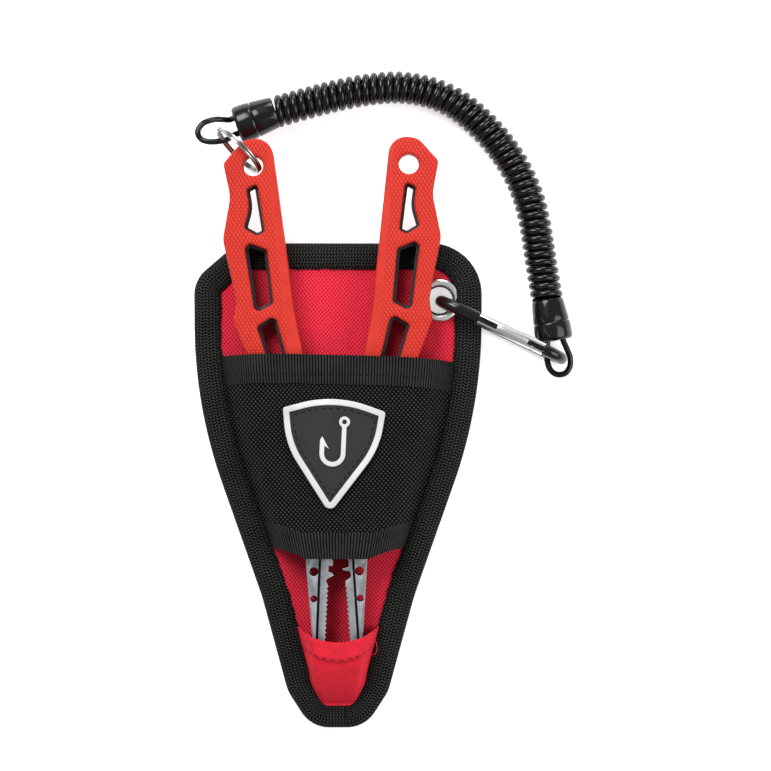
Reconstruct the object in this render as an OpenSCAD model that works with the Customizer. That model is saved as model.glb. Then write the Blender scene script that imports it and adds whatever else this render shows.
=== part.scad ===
// Fishing pliers stowed in a padded sheath, with a coiled lanyard, split ring and carabiner.
// It lies on its back: +Z up from the floor, +Y towards the handle ends, millimetres.

/* [Sheath] */
// Half the sheath's width at its widest
sheath_half_w = 52; // [50:0.5:55]
// Thickness of each outer fabric layer
fabric_t = 0.9; // [0.6:0.1:1.1]
// Thickness of the stiffening foam
foam_t = 1.8; // [1:0.1:2]
// Width of the edge binding as seen from the front
binding_w = 10; // [8:0.5:11]
// Height of the space behind the belt loop
belt_gap = 4.6; // [4.4:0.1:4.8]
// Inside height of the main pocket over the lining
pocket_h = 13.3; // [12.8:0.1:14]

/* [Pliers] */
// Thickness of the moulded grips
grip_t = 10; // [8:0.5:10]
// Thickness of the metal halves and jaws
frame_t = 7; // [6.5:0.5:7]
// Thickness of the tang inside each grip
tang_t = 3.2; // [2:0.2:4]
// Half of the jaws' opening angle at rest
half_open = 3.6; // [3:0.1:4]
// Diameter of the lanyard hole in each grip
handle_hole_d = 7.2; // [7:0.1:7.6]
// Pitch of the jaw teeth
tooth_pitch = 1.65; // [1.2:0.05:2]

/* [Lanyard] */
// Outer diameter of the coiled cord
coil_d = 12; // [10:0.5:12]
// Diameter of the end loops' cord
loop_d = 2.2; // [1.8:0.1:2.4]
// Diameter of the end caps at the loop face
cap_face_d = 13.6; // [12:0.2:14]
// Diameter of the end caps at the coil
cap_neck_d = 11.4; // [10:0.2:12]
// Length of the end caps
cap_len = 15.2; // [14:0.2:16]
// Outer diameter of the split ring
ring_d = 21.6; // [21:0.1:22]
// Diameter of the carabiner's rod
clip_rod_d = 4.3; // [4:0.1:4.3]

/* [Hidden] */
$fn = 64;
eps = 0.02;

// Heights above the floor
strap_t = 1.6;
back_z = strap_t + belt_gap;
foam_z = back_z + fabric_t;
lining_z = foam_z + foam_t;
front_z = lining_z + 0.8;
leaf_top_z = front_z + fabric_t;
leaf_low_z = back_z - fabric_t;
panel_t = 1.1;
hem_t = 0.7;
pocket_out_z = front_z + pocket_h + panel_t;

grip_z = leaf_top_z + 0.5;
mid_z = grip_z + grip_t / 2;
frame_z = mid_z - frame_t / 2;
frame_top = mid_z + frame_t / 2;
boss_half_t = (frame_t - 0.6) / 2;

// The pliers' own frame: pivot at its origin, leaning slightly in the sheath
pivot = [-0.9, -8.8];
lean = 0.8;
boss_r = 12;
bolt_r = 3;
bore_r = 3.05;
hole_at = [27.8, 104.8];
tip_y = -67.2;
insert_top_y = -29.3;

// Sheath outline from the shoulders to the toe: x, y, corner radius
lower_side = [
    [sheath_half_w - 0.3, 9.8, 173], [27.6, -58.5, 80], [18.2, -93, 16], [9.7, -106.1, 12]
];
// The right shoulder is one round corner, the left one is cut across
outline = concat(
    [for (i = [3:-1:0]) lower_side[i]],
    [[sheath_half_w, 68.7, 18.5], [-36.5, 68.7, 14], [-sheath_half_w, 55.5, 12]],
    [for (c = lower_side) [-c.x, c.y, c.z]]
);

// Handle grip outline and slots, right handle, anticlockwise
grip_outline = [
    [7.8, 21.5, 2], [24.6, 21, 2.5], [35.7, 49.6, 6], [34.3, 56, 12], [39, 78.8, 10],
    [36.1, 94, 14], [38.5, 105.8, 2.5], [31.4, 113.8, 5], [21.4, 115.9, 6.5],
    [16.5, 75, 60], [13.9, 53, 60]
];
slot_top = [
    [24, 81.2, 1.2], [26.8, 79.9, 1.5], [31.4, 82.6, 1.5], [29.3, 90, 12],
    [30.3, 96.5, 1], [26.5, 98.6, 1.2]
];
slot_mid = [
    [21.3, 55.6, 1.5], [26.6, 52.8, 1.5], [28.2, 54.2, 1.2], [31.2, 75.5, 1.2],
    [29.6, 77.2, 1.2], [23.3, 74.8, 1]
];
slot_low = [
    [14.2, 25.4, 1.5], [20, 24, 1.5], [27.3, 47.4, 1.2], [22.2, 50.6, 1.5], [20.2, 49.6, 1.2]
];
slots = [slot_top, slot_mid, slot_low];
ledge = 1.05;
tang_inset = 3;
tang_fit = 0.03;

// Arm between the grip and the pivot
arm_outline = [[-0.6, -1.5, 0], [11.6, -3, 0], [24, 20.9, 0], [8.2, 21.2, 0], [4.2, 11.5, 0]];

// Lanyard coil: the middle of its route on the floor
coil_route = [
    [-21.9, 116.4], [-10.5, 119.6], [1, 122.5], [12.5, 124.5], [23, 125], [34, 123],
    [43.5, 118.5], [52, 111.5], [59, 103.5], [64.5, 95], [68.5, 86], [71, 76.5],
    [72.5, 67], [74, 57.5], [75.5, 48.5]
];
coil_z = coil_d / 2 + 0.05;
cap_z = cap_face_d / 2 + 0.05;

// End caps: the middle of the neck face and the direction towards the loop
cap_1_at = [-22.5, 116.2];
cap_1_turn = 199.7;
cap_2_at = [75.5, 48.4];
cap_2_turn = -79.7;

// End loops, from one hole of the plug's face round to the other
loop_1_route = [
    [-38.2, 113.7, 6.9], [-39.5, 113.2, 7.2], [-41.5, 113.2, 8.8], [-44.9, 113, 10.6],
    [-48.6, 111.5, 11.6], [-50.4, 108.6, 12], [-49.3, 106, 12.2], [-46.3, 104.9, 12.4],
    [-41.3, 105.3, 11.9], [-39, 106.5, 9.6], [-37.5, 107.8, 7.5], [-36.2, 108.25, 6.9]
];
loop_2_route = [
    [75.6, 32.6, 6.9], [75.3, 30, 6.8], [75.5, 26.5, 6.7], [76.4, 23.4, 6.6],
    [78.2, 21.6, 6.6], [80.3, 21.2, 6.6], [82.4, 22, 6.6], [83.8, 24.4, 6.6],
    [83.8, 27.5, 6.7], [82.6, 30.6, 6.8], [81.3, 33.6, 6.9]
];

// Carabiner: a long rod loop on edge, one end through the eyelet
clip_at = [37, 47.6];
clip_turn = -25.4;
clip_r = clip_rod_d / 2;
clip_low_z = clip_r + 0.05;
clip_high_z = 19.4;
clip_near_r = 7;
clip_far_r = 6;
clip_run = 47.9;
nose_s = 14.4;
pin_s = 36.4;
gate_start_s = nose_s + 0.4;
gate_tail = 4.3;
gate_r = 2.25;
tongue_t = 1.5;
gate_slot_w = 1.9;
pin_r = 0.75;

eyelet_at = [36.6, 48];
eyelet_r = 7.7;
eyelet_hole_r = 4.7;

// ---- Geometry helpers ----

function unit(v) = v / norm(v);
function turn_between(a, b) = ((b - a + 540) % 360) - 180;
function flat(c) = [c.x, c.y];

// Points of one rounded corner q between p and s
function corner_arc(p, q, s, r, steps) =
    let (
        u = unit(p - q), w = unit(s - q), half = acos(u * w) / 2,
        middle = q + unit(u + w) * r / sin(half),
        first = q + u * r / tan(half) - middle, last = q + w * r / tan(half) - middle,
        start = atan2(first.y, first.x), sweep = turn_between(start, atan2(last.y, last.x))
    )
    [for (i = [0:steps])
        middle + r * [cos(start + sweep * i / steps), sin(start + sweep * i / steps)]];

// A polygon of corners [x, y, radius] with its corners rounded
function rounded(c, steps = 6) =
    let (n = len(c))
    [for (i = [0:n - 1])
        let (p = flat(c[(i + n - 1) % n]), q = flat(c[i]), s = flat(c[(i + 1) % n]))
        each c[i].z > 0 ? corner_arc(p, q, s, c[i].z, steps) : [q]];

// The same corners moved inwards by d, for an anticlockwise outline
function inset(c, d) =
    let (n = len(c))
    [for (i = [0:n - 1])
        let (
            q = flat(c[i]), e1 = unit(q - flat(c[(i + n - 1) % n])),
            e2 = unit(flat(c[(i + 1) % n]) - q),
            n1 = [-e1.y, e1.x], n2 = [-e2.y, e2.x],
            bend = e1.x * e2.y - e1.y * e2.x,
            moved = q + (n1 + n2) * d / (1 + n1 * n2)
        )
        [moved.x, moved.y, c[i].z > 0 ? max(0.3, c[i].z - sign(bend) * d) : 0]];

module plate(corners, low, high, steps = 6) {
    translate([0, 0, low]) linear_extrude(high - low) polygon(rounded(corners, steps));
}

// A closed sheet between two height fields over a grid of rows of points
module sheet_between(low_rows, high_rows) {
    rows = len(low_rows);
    cols = len(low_rows[0]);
    count = rows * cols;
    points = concat([for (r = low_rows) each r], [for (r = high_rows) each r]);
    last = rows - 1;
    side = cols - 1;
    faces = concat(
        [for (j = [0:last - 1], i = [0:side - 1]) each
            let (a = j * cols + i, b = a + 1, c = a + cols, d = c + 1)
            [[a, b, d], [a, d, c], [count + a, count + d, count + b],
             [count + a, count + c, count + d]]],
        [for (i = [0:side - 1]) each
            let (a = i, b = i + 1, c = last * cols + i, d = c + 1)
            [[a, count + a, count + b], [a, count + b, b],
             [c, d, count + d], [c, count + d, count + c]]],
        [for (j = [0:last - 1]) each
            let (a = j * cols, b = a + cols, c = a + side, d = b + side)
            [[a, b, count + b], [a, count + b, count + a],
             [c, count + c, count + d], [c, count + d, d]]]
    );
    polyhedron(points, faces);
}

// A round tube swept along points that are never steep
module tube(route, r, sides = 8) {
    n = len(route);
    rings = [for (k = [0:n - 1])
        let (
            ahead = route[min(k + 1, n - 1)], behind = route[max(k - 1, 0)],
            t = unit(ahead - behind), across = unit(cross(t, [0, 0, 1])), up = cross(across, t)
        )
        for (i = [0:sides - 1])
            route[k] + r * (cos(360 * i / sides) * across + sin(360 * i / sides) * up)];
    walls = [for (k = [0:n - 2], i = [0:sides - 1]) each
        let (a = k * sides + i, b = k * sides + (i + 1) % sides)
        [[a, b, b + sides], [a, b + sides, a + sides]]];
    ends = [[for (i = [0:sides - 1]) sides - 1 - i],
            [for (i = [0:sides - 1]) (n - 1) * sides + i]];
    polyhedron(rings, concat(walls, ends));
}

// ---- Sheath ----

module eyelet_cut(r) {
    translate([eyelet_at.x, eyelet_at.y, 0]) cylinder(r = r, h = 40);
}

module sheath_layer(edge_inset, low, high) {
    difference() {
        plate(inset(outline, edge_inset), low, high, 10);
        eyelet_cut(eyelet_hole_r + 0.5);
    }
}

module back_shell() {
    color([0.06, 0.06, 0.07]) sheath_layer(fabric_t, back_z, foam_z);
}

module foam_core() {
    color([0.25, 0.25, 0.27]) sheath_layer(fabric_t + 1.5, foam_z, lining_z);
}

module lining() {
    color([0.72, 0.08, 0.15]) sheath_layer(fabric_t, lining_z, front_z);
}

module edge_binding() {
    color([0.05, 0.05, 0.06]) difference() {
        plate(outline, leaf_low_z, leaf_top_z, 10);
        plate(inset(outline, fabric_t), back_z, front_z, 10);
        plate(inset(outline, binding_w), leaf_low_z - 1, leaf_top_z + 1, 10);
        eyelet_cut(eyelet_r + 0.1);
    }
}

// The pocket's side seams run along the binding's inner edge
function seam_x(y) =
    y > 0 ? 36.3 + 5 * sin(90 * min(1, y / 45)) : 36.3 + 0.3 * y - 0.00055 * y * y;
function bulge(u) = u < 0.64 ? 1 : 1 - pow((min(u, 1) - 0.64) / 0.36, 2.2);
// The pocket's lower edge runs straight over the jaws and rises towards the seams
function pocket_low_y(u) = -44.4 + 3.4 * (1 - pow(1 - max(0, 2 * abs(u) - 1), 2));

pocket_cols = 28;
// A point of the pocket's face, u from seam to seam, raised by up
function pocket_point(u, y, up) =
    let (x = u * (seam_x(y) - 0.4)) [x, y, front_z + eps + pocket_h * bulge(abs(u)) + up];
function column_u(i) = let (c = 2 * i / pocket_cols - 1) sign(c) * (1 - pow(1 - abs(c), 1.35));

// The pocket's mouth falls slightly towards the right
function mouth_y(u) = 26.6 - 1.02 * u + 1.6 * (1 - pow(u, 4));

// Rows of points between a low and a high edge, each set back from the mouth (true) or the
// lower edge (false) by a distance
function edge_y(edge, u) = edge[0] ? mouth_y(u) - edge[1] : pocket_low_y(u) + edge[1];
function band_rows(low, high, rows, up) =
    [for (j = [0:rows]) [for (i = [0:pocket_cols])
        let (u = column_u(i), y0 = edge_y(low, u), y1 = edge_y(high, u))
        pocket_point(u, y0 + (y1 - y0) * j / rows, up)]];

module pocket_band(low, high, rows, from, to) {
    sheet_between(band_rows(low, high, rows, from), band_rows(low, high, rows, to));
}

module pocket_panel() {
    color([0.09, 0.09, 0.10]) pocket_band([false, 0.6], [true, 0.3], 12, 0, panel_t);
}

top_hem_h = 10.2;
low_hem_h = 9.4;
hem_gap = 0.06;
module pocket_top_hem() {
    color([0.05, 0.05, 0.06])
        pocket_band([true, top_hem_h], [true, 0], 2, panel_t + hem_gap, panel_t + hem_t);
}

module pocket_bottom_hem() {
    color([0.05, 0.05, 0.06])
        pocket_band([false, 0], [false, low_hem_h], 2, panel_t + hem_gap, panel_t + hem_t);
}

// Toe pocket: a cup over the jaw tips
toe_low_y = -95.9;
toe_h = 12;
function toe_seam_x(y) = 13.3 - 0.29 * (-70.2 - y) - 0.39 * max(0, -89.9 - y);
function toe_mouth_y(u) = -69.8 - 4.6 * (1 - u * u);
function toe_rise(y) = y > -79 ? 1 : cos(90 * min(1, (-79 - y) / 17.6));
function toe_point(u, y, up) =
    [u * toe_seam_x(y), y, front_z + eps + toe_h * toe_rise(y) * bulge(abs(u)) + up];
function toe_rows(y_low, drop, rows, up) =
    [for (j = [0:rows]) [for (i = [0:16])
        let (u = i / 8 - 1, high = toe_mouth_y(u), low = y_low == "hem" ? high - drop : y_low)
        toe_point(u, low + (high - low) * j / rows, up)]];

module toe_pocket() {
    color([0.78, 0.10, 0.17])
        sheet_between(toe_rows(toe_low_y, 0, 10, 0), toe_rows(toe_low_y, 0, 10, fabric_t));
}

module toe_pocket_hem() {
    color([0.78, 0.10, 0.17]) sheet_between(
        toe_rows("hem", 7, 3, fabric_t + 0.12), toe_rows("hem", 7, 3, fabric_t + 0.7));
}

// Badge: a plain heater shield with a fish-hook emblem
badge_turn = -2.6;
badge_at = [-1.8, -6.5];
shield = [[-18.3, 15.2, 1.2], [-16.6, 2, 30], [0, -21.8, 2.5], [16.6, 2, 30], [18.3, 15.2, 1.2],
          [0, 20.9, 40]];
badge_z = pocket_out_z + eps;
badge_t = 1.2;
border_t = 0.8;
emblem_t = 0.5;

module on_badge(z) {
    translate([badge_at.x, badge_at.y, z]) rotate(badge_turn) children();
}

module badge_base() {
    color([0.13, 0.13, 0.14]) on_badge(badge_z) plate(inset(shield, 0.4), 0, badge_t, 8);
}

module badge_border() {
    color([0.90, 0.90, 0.90]) on_badge(badge_z + badge_t) difference() {
        plate(shield, 0, border_t, 8);
        plate(inset(shield, 2.2), -1, 2, 8);
    }
}

// A fish hook: eye, shank, round bend and barbed point
hook_r = 5;
module badge_emblem() {
    color([0.92, 0.92, 0.92]) on_badge(badge_z + badge_t) linear_extrude(emblem_t)
        translate([1.2, 3.8]) scale(0.76) {
        translate([3.5, 9.5]) difference() {
            circle(r = 2.6);
            circle(r = 1.1);
        }
        translate([2.4, -5.5]) square([2.2, 13]);
        translate([-1.5, -5.5]) difference() {
            circle(r = hook_r + 1.1);
            circle(r = hook_r - 1.1);
            translate([-10, 0]) square([20, 10]);
        }
        polygon([[-7.6, -5.6], [-5.4, -5.6], [-5.4, -2], [-3.2, -3.4], [-6.6, 2.4], [-7.6, 0.6]]);
    }
}

module eyelet() {
    color([0.82, 0.82, 0.84]) translate([eyelet_at.x, eyelet_at.y, 0]) rotate_extrude()
        polygon([
            [eyelet_hole_r, back_z], [eyelet_hole_r + 0.45, back_z],
            [eyelet_hole_r + 0.45, front_z], [eyelet_r, front_z], [eyelet_r - 0.3, front_z + 0.6],
            [eyelet_r - 1.3, front_z + 1], [eyelet_hole_r + 0.9, front_z + 0.95],
            [eyelet_hole_r, front_z + 0.3]
        ]);
}

module eyelet_washer() {
    color([0.78, 0.78, 0.80]) translate([eyelet_at.x, eyelet_at.y, back_z - 0.85])
        difference() {
            cylinder(r = eyelet_r - 0.3, h = 0.85);
            translate([0, 0, -1]) cylinder(r = eyelet_hole_r, h = 3);
        }
}

// Belt loop: webbing with both ends sewn flat to the back
belt_half_w = 20;
loop_low_y = -22;
loop_high_y = 43.4;
module belt_loop() {
    rise = 3.6;
    tab = 11;
    tab_z = back_z - strap_t;
    profile = [
        [loop_low_y, 0], [loop_high_y, 0], [loop_high_y + rise, tab_z],
        [loop_high_y + rise + tab, tab_z], [loop_high_y + rise + tab, back_z],
        [loop_high_y + rise - 1, back_z], [loop_high_y - 1, strap_t],
        [loop_low_y + 1, strap_t], [loop_low_y - rise + 1, back_z],
        [loop_low_y - rise - tab, back_z], [loop_low_y - rise - tab, tab_z],
        [loop_low_y - rise, tab_z]
    ];
    color([0.07, 0.07, 0.08]) translate([-belt_half_w, 0, 0])
        rotate([90, 0, 90]) linear_extrude(2 * belt_half_w) polygon(profile);
}

// ---- Pliers ----
// Each half is drawn as the right-hand half: its handle at +X and its jaw at -X.

module right_half() {
    translate([pivot.x, pivot.y, 0]) rotate(lean) children();
}

module left_half() {
    right_half() mirror([1, 0, 0]) children();
}

// The jaw's inner face lies along a ray from the pivot; s is measured from it towards the gap
function ray_x(y, s = 0) = tan(half_open) * y - 0.15 + s;
function on_ray(s, y) = [ray_x(y, s), y];

strip_inner = [[-6.3, -35], [-7.8, -63.5], [-8, tip_y]];
strip_outer = [[-11.8, -2], [-12.8, -18], [-11, -36.3], [-9.1, -63.2], [-8.8, tip_y]];

module jaw_strip() {
    polygon(concat(
        [[0, 0]], strip_outer,
        [strip_inner[2], strip_inner[1], strip_inner[0], [-6.3, insert_top_y]],
        [on_ray(0, insert_top_y), on_ray(0, -12.2)]
    ));
}

// Holes through the jaw's face: x, y, radius
face_holes = [[-8.15, -40.25, 1.6], [-8.3, -49.95, 1.25]];

// Recess that the other half's boss turns in
module boss_recess(upper) {
    translate([0, 0, upper ? frame_z - 1 : frame_z + boss_half_t])
        cylinder(r = boss_r + 0.35, h = 1 + frame_t - boss_half_t);
}

module cutter_shape(grow) {
    translate([0, 0, mid_z - 1.6 - grow]) linear_extrude(3.2 + 2 * grow)
        polygon([on_ray(-4.4 - grow, -14.5 + grow), on_ray(-4.4 - grow, -26.5 - grow),
                 on_ray(0.02, -26.5 - grow), on_ray(0.02, -14.5 + grow)]);
}

side_screw_y = [-33.5, -44.8];
module side_holes(r) {
    for (y = side_screw_y) translate([-4.6, y, mid_z]) rotate([0, -90, 0]) cylinder(r = r, h = 9);
}

module tang_solid(grow = 0) {
    half = tang_t / 2 + grow;
    difference() {
        plate(inset(grip_outline, tang_inset - grow), mid_z - half, mid_z + half);
        translate([hole_at.x, hole_at.y, 0])
            cylinder(r = handle_hole_d / 2 + 1.8 - grow, h = 40);
    }
}

// The tang's neck, from the arm into the grip
module tang_neck(start_y, grow = 0) {
    drop = 20 - start_y;
    plate([[9.5 - drop * 2 / 11 - grow, start_y, 0], [22 - drop / 11 + grow, start_y, 0],
           [22.5 + grow, 25.5, 0],
           [10.5 - grow, 25.5, 0]], mid_z - tang_t / 2 - grow, mid_z + tang_t / 2 + grow);
}

module frame_solid(upper) {
    difference() {
        union() {
            plate(arm_outline, frame_z, frame_top);
            translate([0, 0, frame_z]) linear_extrude(frame_t) jaw_strip();
            translate([0, 0, upper ? frame_top - boss_half_t : frame_z])
                cylinder(r = boss_r, h = boss_half_t);
            tang_solid();
            tang_neck(20);
        }
        boss_recess(upper);
        cylinder(r = bore_r, h = 60);
        for (s = slots) plate(inset(s, ledge), frame_z - 1, frame_top + 1, 5);
        cutter_shape(0);
        for (c = face_holes) translate([c.x, c.y, 0]) cylinder(r = c.z, h = 40);
        side_holes(0.7);
        for (y = side_screw_y) translate([-9.6, y, mid_z]) rotate([0, -90, 0])
            cylinder(r = 1.3, h = 5);
    }
}

module left_handle_frame() { color([0.66, 0.67, 0.69]) left_half() frame_solid(false); }
module right_handle_frame() { color([0.66, 0.67, 0.69]) right_half() frame_solid(true); }

edge_step = 1;
module grip_solid() {
    difference() {
        union() {
            plate(inset(grip_outline, edge_step), grip_z, grip_z + grip_t);
            plate(grip_outline, grip_z + edge_step, grip_z + grip_t - edge_step);
        }
        for (s = slots) plate(s, grip_z - 1, grip_z + grip_t + 1, 5);
        translate([hole_at.x, hole_at.y, 0]) cylinder(r = handle_hole_d / 2, h = 60);
        tang_solid(tang_fit);
        tang_neck(15, tang_fit);
    }
}

module left_handle_grip() { color([0.90, 0.25, 0.20]) left_half() grip_solid(); }
module right_handle_grip() { color([0.90, 0.25, 0.20]) right_half() grip_solid(); }

// Toothed part of an insert's inner edge, from the tip upwards
tooth_h = 0.55;
first_tooth_y = -66.2;
teeth = 13;
toothed_edge = [for (i = [0:teeth - 1], top = [0, 1])
    on_ray(top == 0 ? -tooth_h : 0, first_tooth_y + tooth_pitch * (i + top / 2))];

// Crimping notches above the teeth: a square one with a hooked tip, and a round one that takes it
square_notch = [
    on_ray(-1, -43.5), on_ray(-0.6, -42.9), on_ray(1.7, -41.7), on_ray(1.2, -40.9),
    on_ray(0, -40.4), on_ray(-0.3, -40.2), on_ray(-0.3, -38.3), on_ray(1.2, -38.3), on_ray(1.2, -37),
    on_ray(0, -33)
];
round_notch = [
    on_ray(-0.3, -43.6), on_ray(-0.9, -43.3),
    for (a = [-70:20:110]) [ray_x(-41.6, -1) - 1.35 * cos(a), -41.6 + 1.5 * sin(a)],
    on_ray(0.7, -39.6), on_ray(0.4, -39.2), on_ray(-1.6, -38.7), on_ray(-1.9, -37), on_ray(0, -32.6)
];

module insert_solid(notch) {
    inner_edge = concat([on_ray(-0.4, tip_y)], toothed_edge, notch, [on_ray(0, insert_top_y - 0.1)]);
    seat = [[-6.3, insert_top_y - 0.1], [-6.3, -35], strip_inner[1], strip_inner[2]];
    face = [[-5.4, insert_top_y - 0.1], [-5.4, -35], [-6.9, -63.5], [-7.1, tip_y]];
    difference() {
        union() {
            translate([0, 0, frame_z]) linear_extrude(frame_t - 1.4)
                polygon(concat(seat, inner_edge));
            translate([0, 0, frame_z]) linear_extrude(frame_t) polygon(concat(face, inner_edge));
        }
        side_holes(0.7);
    }
}

module left_jaw_insert() { color([0.70, 0.71, 0.73]) right_half() insert_solid(square_notch); }
module right_jaw_insert() { color([0.70, 0.71, 0.73]) left_half() insert_solid(round_notch); }

module side_screws() {
    for (i = [0, 1]) {
        outer_x = [-11.1, -10.3][i];
        translate([-4.8, side_screw_y[i], mid_z]) rotate([0, -90, 0]) cylinder(r = 0.7, h = 5);
        translate([-9.65, side_screw_y[i], mid_z]) rotate([0, -90, 0])
            cylinder(r = 1.25, h = -9.65 - outer_x);
    }
}

module left_jaw_screws() { color([0.20, 0.20, 0.21]) right_half() side_screws(); }
module right_jaw_screws() { color([0.20, 0.20, 0.21]) left_half() side_screws(); }
module left_cutter() { color([0.45, 0.46, 0.48]) right_half() cutter_shape(-0.02); }
module right_cutter() { color([0.45, 0.46, 0.48]) left_half() cutter_shape(-0.02); }

module pivot_bolt() {
    color([0.30, 0.30, 0.32]) right_half() difference() {
        union() {
            translate([0, 0, frame_z - 1.6]) cylinder(r = bolt_r, h = frame_t + 1.8);
            translate([0, 0, frame_top + 0.1]) cylinder(r = 5.4, h = 1.5);
        }
        translate([0, 0, frame_top + 0.7]) cylinder(r = 2, h = 2, $fn = 6);
    }
}

module pivot_nut() {
    color([0.30, 0.30, 0.32]) right_half() translate([0, 0, frame_z - 1.7]) difference() {
        cylinder(r = 5.4, h = 1.6, $fn = 6);
        translate([0, 0, -1]) cylinder(r = bolt_r, h = 4);
    }
}

module pivot_washer() {
    color([0.75, 0.70, 0.45]) right_half() translate([0, 0, mid_z - 0.2]) difference() {
        cylinder(r = 8, h = 0.4);
        translate([0, 0, -1]) cylinder(r = bolt_r + 0.1, h = 3);
    }
}

// Leaf spring in the crotch of the handles
spring_leaf = [
    [-6.8, 27, 0], [0, 14, 3.6], [6.8, 27, 0], [6.1, 27, 0], [0, 15.3, 3], [-6.1, 27, 0]
];
module return_spring() {
    color([0.60, 0.61, 0.63]) right_half() plate(spring_leaf, mid_z - 2.5, mid_z + 2.5);
}

// ---- Lanyard ----

module coil_cord() {
    color([0.03, 0.03, 0.03])
        tube([for (p = coil_route) [p.x, p.y, coil_z]], coil_d / 2 - 0.02, 12);
}

module at_cap(place, turn) {
    translate([place.x, place.y, cap_z]) rotate([0, 90, turn]) children();
}

cap_seam = cap_len * 0.55;
function cap_r_at(h) = cap_neck_d / 2 + (cap_face_d - cap_neck_d) / 2 * min(1, h / 10);

// Cap: open bell over the coil's end, with a rounded neck
module cap_sleeve() {
    rotate_extrude() polygon([
        [0, 0.1], [cap_neck_d / 2 - 0.6, 0.1], [cap_neck_d / 2, 0.7],
        [cap_r_at(cap_seam), cap_seam], [cap_r_at(cap_seam) - 1.2, cap_seam], [0, cap_seam]
    ]);
}

module cap_plug() {
    rotate_extrude() polygon([
        [0, cap_seam + 0.05], [cap_r_at(cap_seam) - 0.2, cap_seam + 0.05],
        [cap_r_at(cap_seam), cap_seam + 0.3], [cap_face_d / 2, cap_len - 0.8],
        [cap_face_d / 2 - 0.8, cap_len], [0, cap_len]
    ]);
}

module pliers_end_cap() { color([0.04, 0.04, 0.04]) at_cap(cap_1_at, cap_1_turn) cap_sleeve(); }
module pliers_end_plug() { color([0.04, 0.04, 0.04]) at_cap(cap_1_at, cap_1_turn) cap_plug(); }
module clip_end_cap() { color([0.04, 0.04, 0.04]) at_cap(cap_2_at, cap_2_turn) cap_sleeve(); }
module clip_end_plug() { color([0.04, 0.04, 0.04]) at_cap(cap_2_at, cap_2_turn) cap_plug(); }
module pliers_end_loop() { color([0.03, 0.03, 0.03]) tube(loop_1_route, loop_d / 2); }
module clip_end_loop() { color([0.03, 0.03, 0.03]) tube(loop_2_route, loop_d / 2); }

// Split ring on edge, through the left grip's hole and the end loop
ring_at = [-35.5, 101.6, 15.5];
ring_turn = -44.4;
ring_tilt = 10;
module split_ring() {
    color([0.75, 0.75, 0.77]) translate(ring_at) rotate([90 - ring_tilt, 0, ring_turn]) difference() {
        translate([0, 0, -1]) cylinder(r = ring_d / 2, h = 2, $fn = 96);
        translate([0, 0, -2]) cylinder(r = ring_d / 2 - 1.2, h = 4, $fn = 96);
    }
}

// ---- Carabiner ----
// Drawn in its own plane: X along it from the eyelet, Y up, Z across

module clip_plane() {
    translate([clip_at.x, clip_at.y, 0]) rotate([90, 0, clip_turn]) children();
}

module rod(s0, s1, height, r) {
    translate([s0, height, 0]) rotate([0, 90, 0]) cylinder(r = r, h = s1 - s0);
}

module bend(s, height, r, start) {
    translate([s, height, 0]) rotate(start) rotate_extrude(angle = 90)
        translate([r, 0]) circle(r = clip_r);
}

module upright(s, low, high) {
    translate([s, low, 0]) rotate([-90, 0, 0]) cylinder(r = clip_r, h = high - low);
}

far_s = clip_run - clip_far_r;
module carabiner_body() {
    color([0.03, 0.03, 0.03]) clip_plane() {
        rod(clip_near_r, far_s, clip_low_z, clip_r);
        bend(clip_near_r, clip_low_z + clip_near_r, clip_near_r, 180);
        upright(0, clip_low_z + clip_near_r, clip_high_z - clip_near_r);
        bend(clip_near_r, clip_high_z - clip_near_r, clip_near_r, 90);
        bend(far_s, clip_low_z + clip_far_r, clip_far_r, 270);
        upright(clip_run, clip_low_z + clip_far_r, clip_high_z - clip_far_r);
        bend(far_s, clip_high_z - clip_far_r, clip_far_r, 0);
        rod(clip_near_r, nose_s, clip_high_z, clip_r);
        translate([nose_s - 0.5, clip_high_z - 1.3, -tongue_t / 2]) cube([7.6, 2.6, tongue_t]);
        rod(pin_s + gate_tail + 0.3, far_s, clip_high_z, clip_r);
        difference() {
            union() {
                translate([pin_s, clip_high_z - 1.5, -tongue_t / 2])
                    cube([gate_tail + 1, 3, tongue_t]);
                translate([pin_s, clip_high_z, -tongue_t / 2]) cylinder(r = 1.8, h = tongue_t);
            }
            translate([pin_s, clip_high_z, -5]) cylinder(r = pin_r + 0.05, h = 10);
        }
    }
}

module carabiner_gate() {
    slot_end_s = pin_s - 2.2;
    color([0.80, 0.81, 0.83]) clip_plane() difference() {
        union() {
            rod(gate_start_s, pin_s, clip_high_z, gate_r);
            intersection() {
                rod(pin_s - 1, pin_s + gate_tail + 1, clip_high_z, gate_r);
                translate([pin_s, clip_high_z, -5]) cylinder(r = gate_tail, h = 10);
            }
        }
        translate([gate_start_s - 1, clip_high_z - 4, -gate_slot_w / 2]) cube([8.2, 8, gate_slot_w]);
        translate([slot_end_s, clip_high_z - 4, -gate_slot_w / 2]) cube([10, 8, gate_slot_w]);
        translate([pin_s, clip_high_z, -5]) cylinder(r = pin_r, h = 10);
        rod(slot_end_s - 9, slot_end_s + 0.1, clip_high_z, 1.1);
    }
}

module gate_pin() {
    color([0.70, 0.70, 0.72]) clip_plane() translate([pin_s, clip_high_z, -gate_r - 0.2])
        cylinder(r = pin_r, h = 2 * gate_r + 0.4);
}

// Spring in the gate's blind bore, pushing on the tongue
module gate_spring() {
    turns = 7;
    length = 8;
    color([0.62, 0.62, 0.64]) clip_plane() for (k = [0:turns - 1])
        translate([pin_s - 2.8 - length * k / turns, clip_high_z, 0]) rotate([0, 90, 0])
            rotate_extrude() translate([0.75, 0]) circle(r = 0.28, $fn = 16);
}

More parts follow.
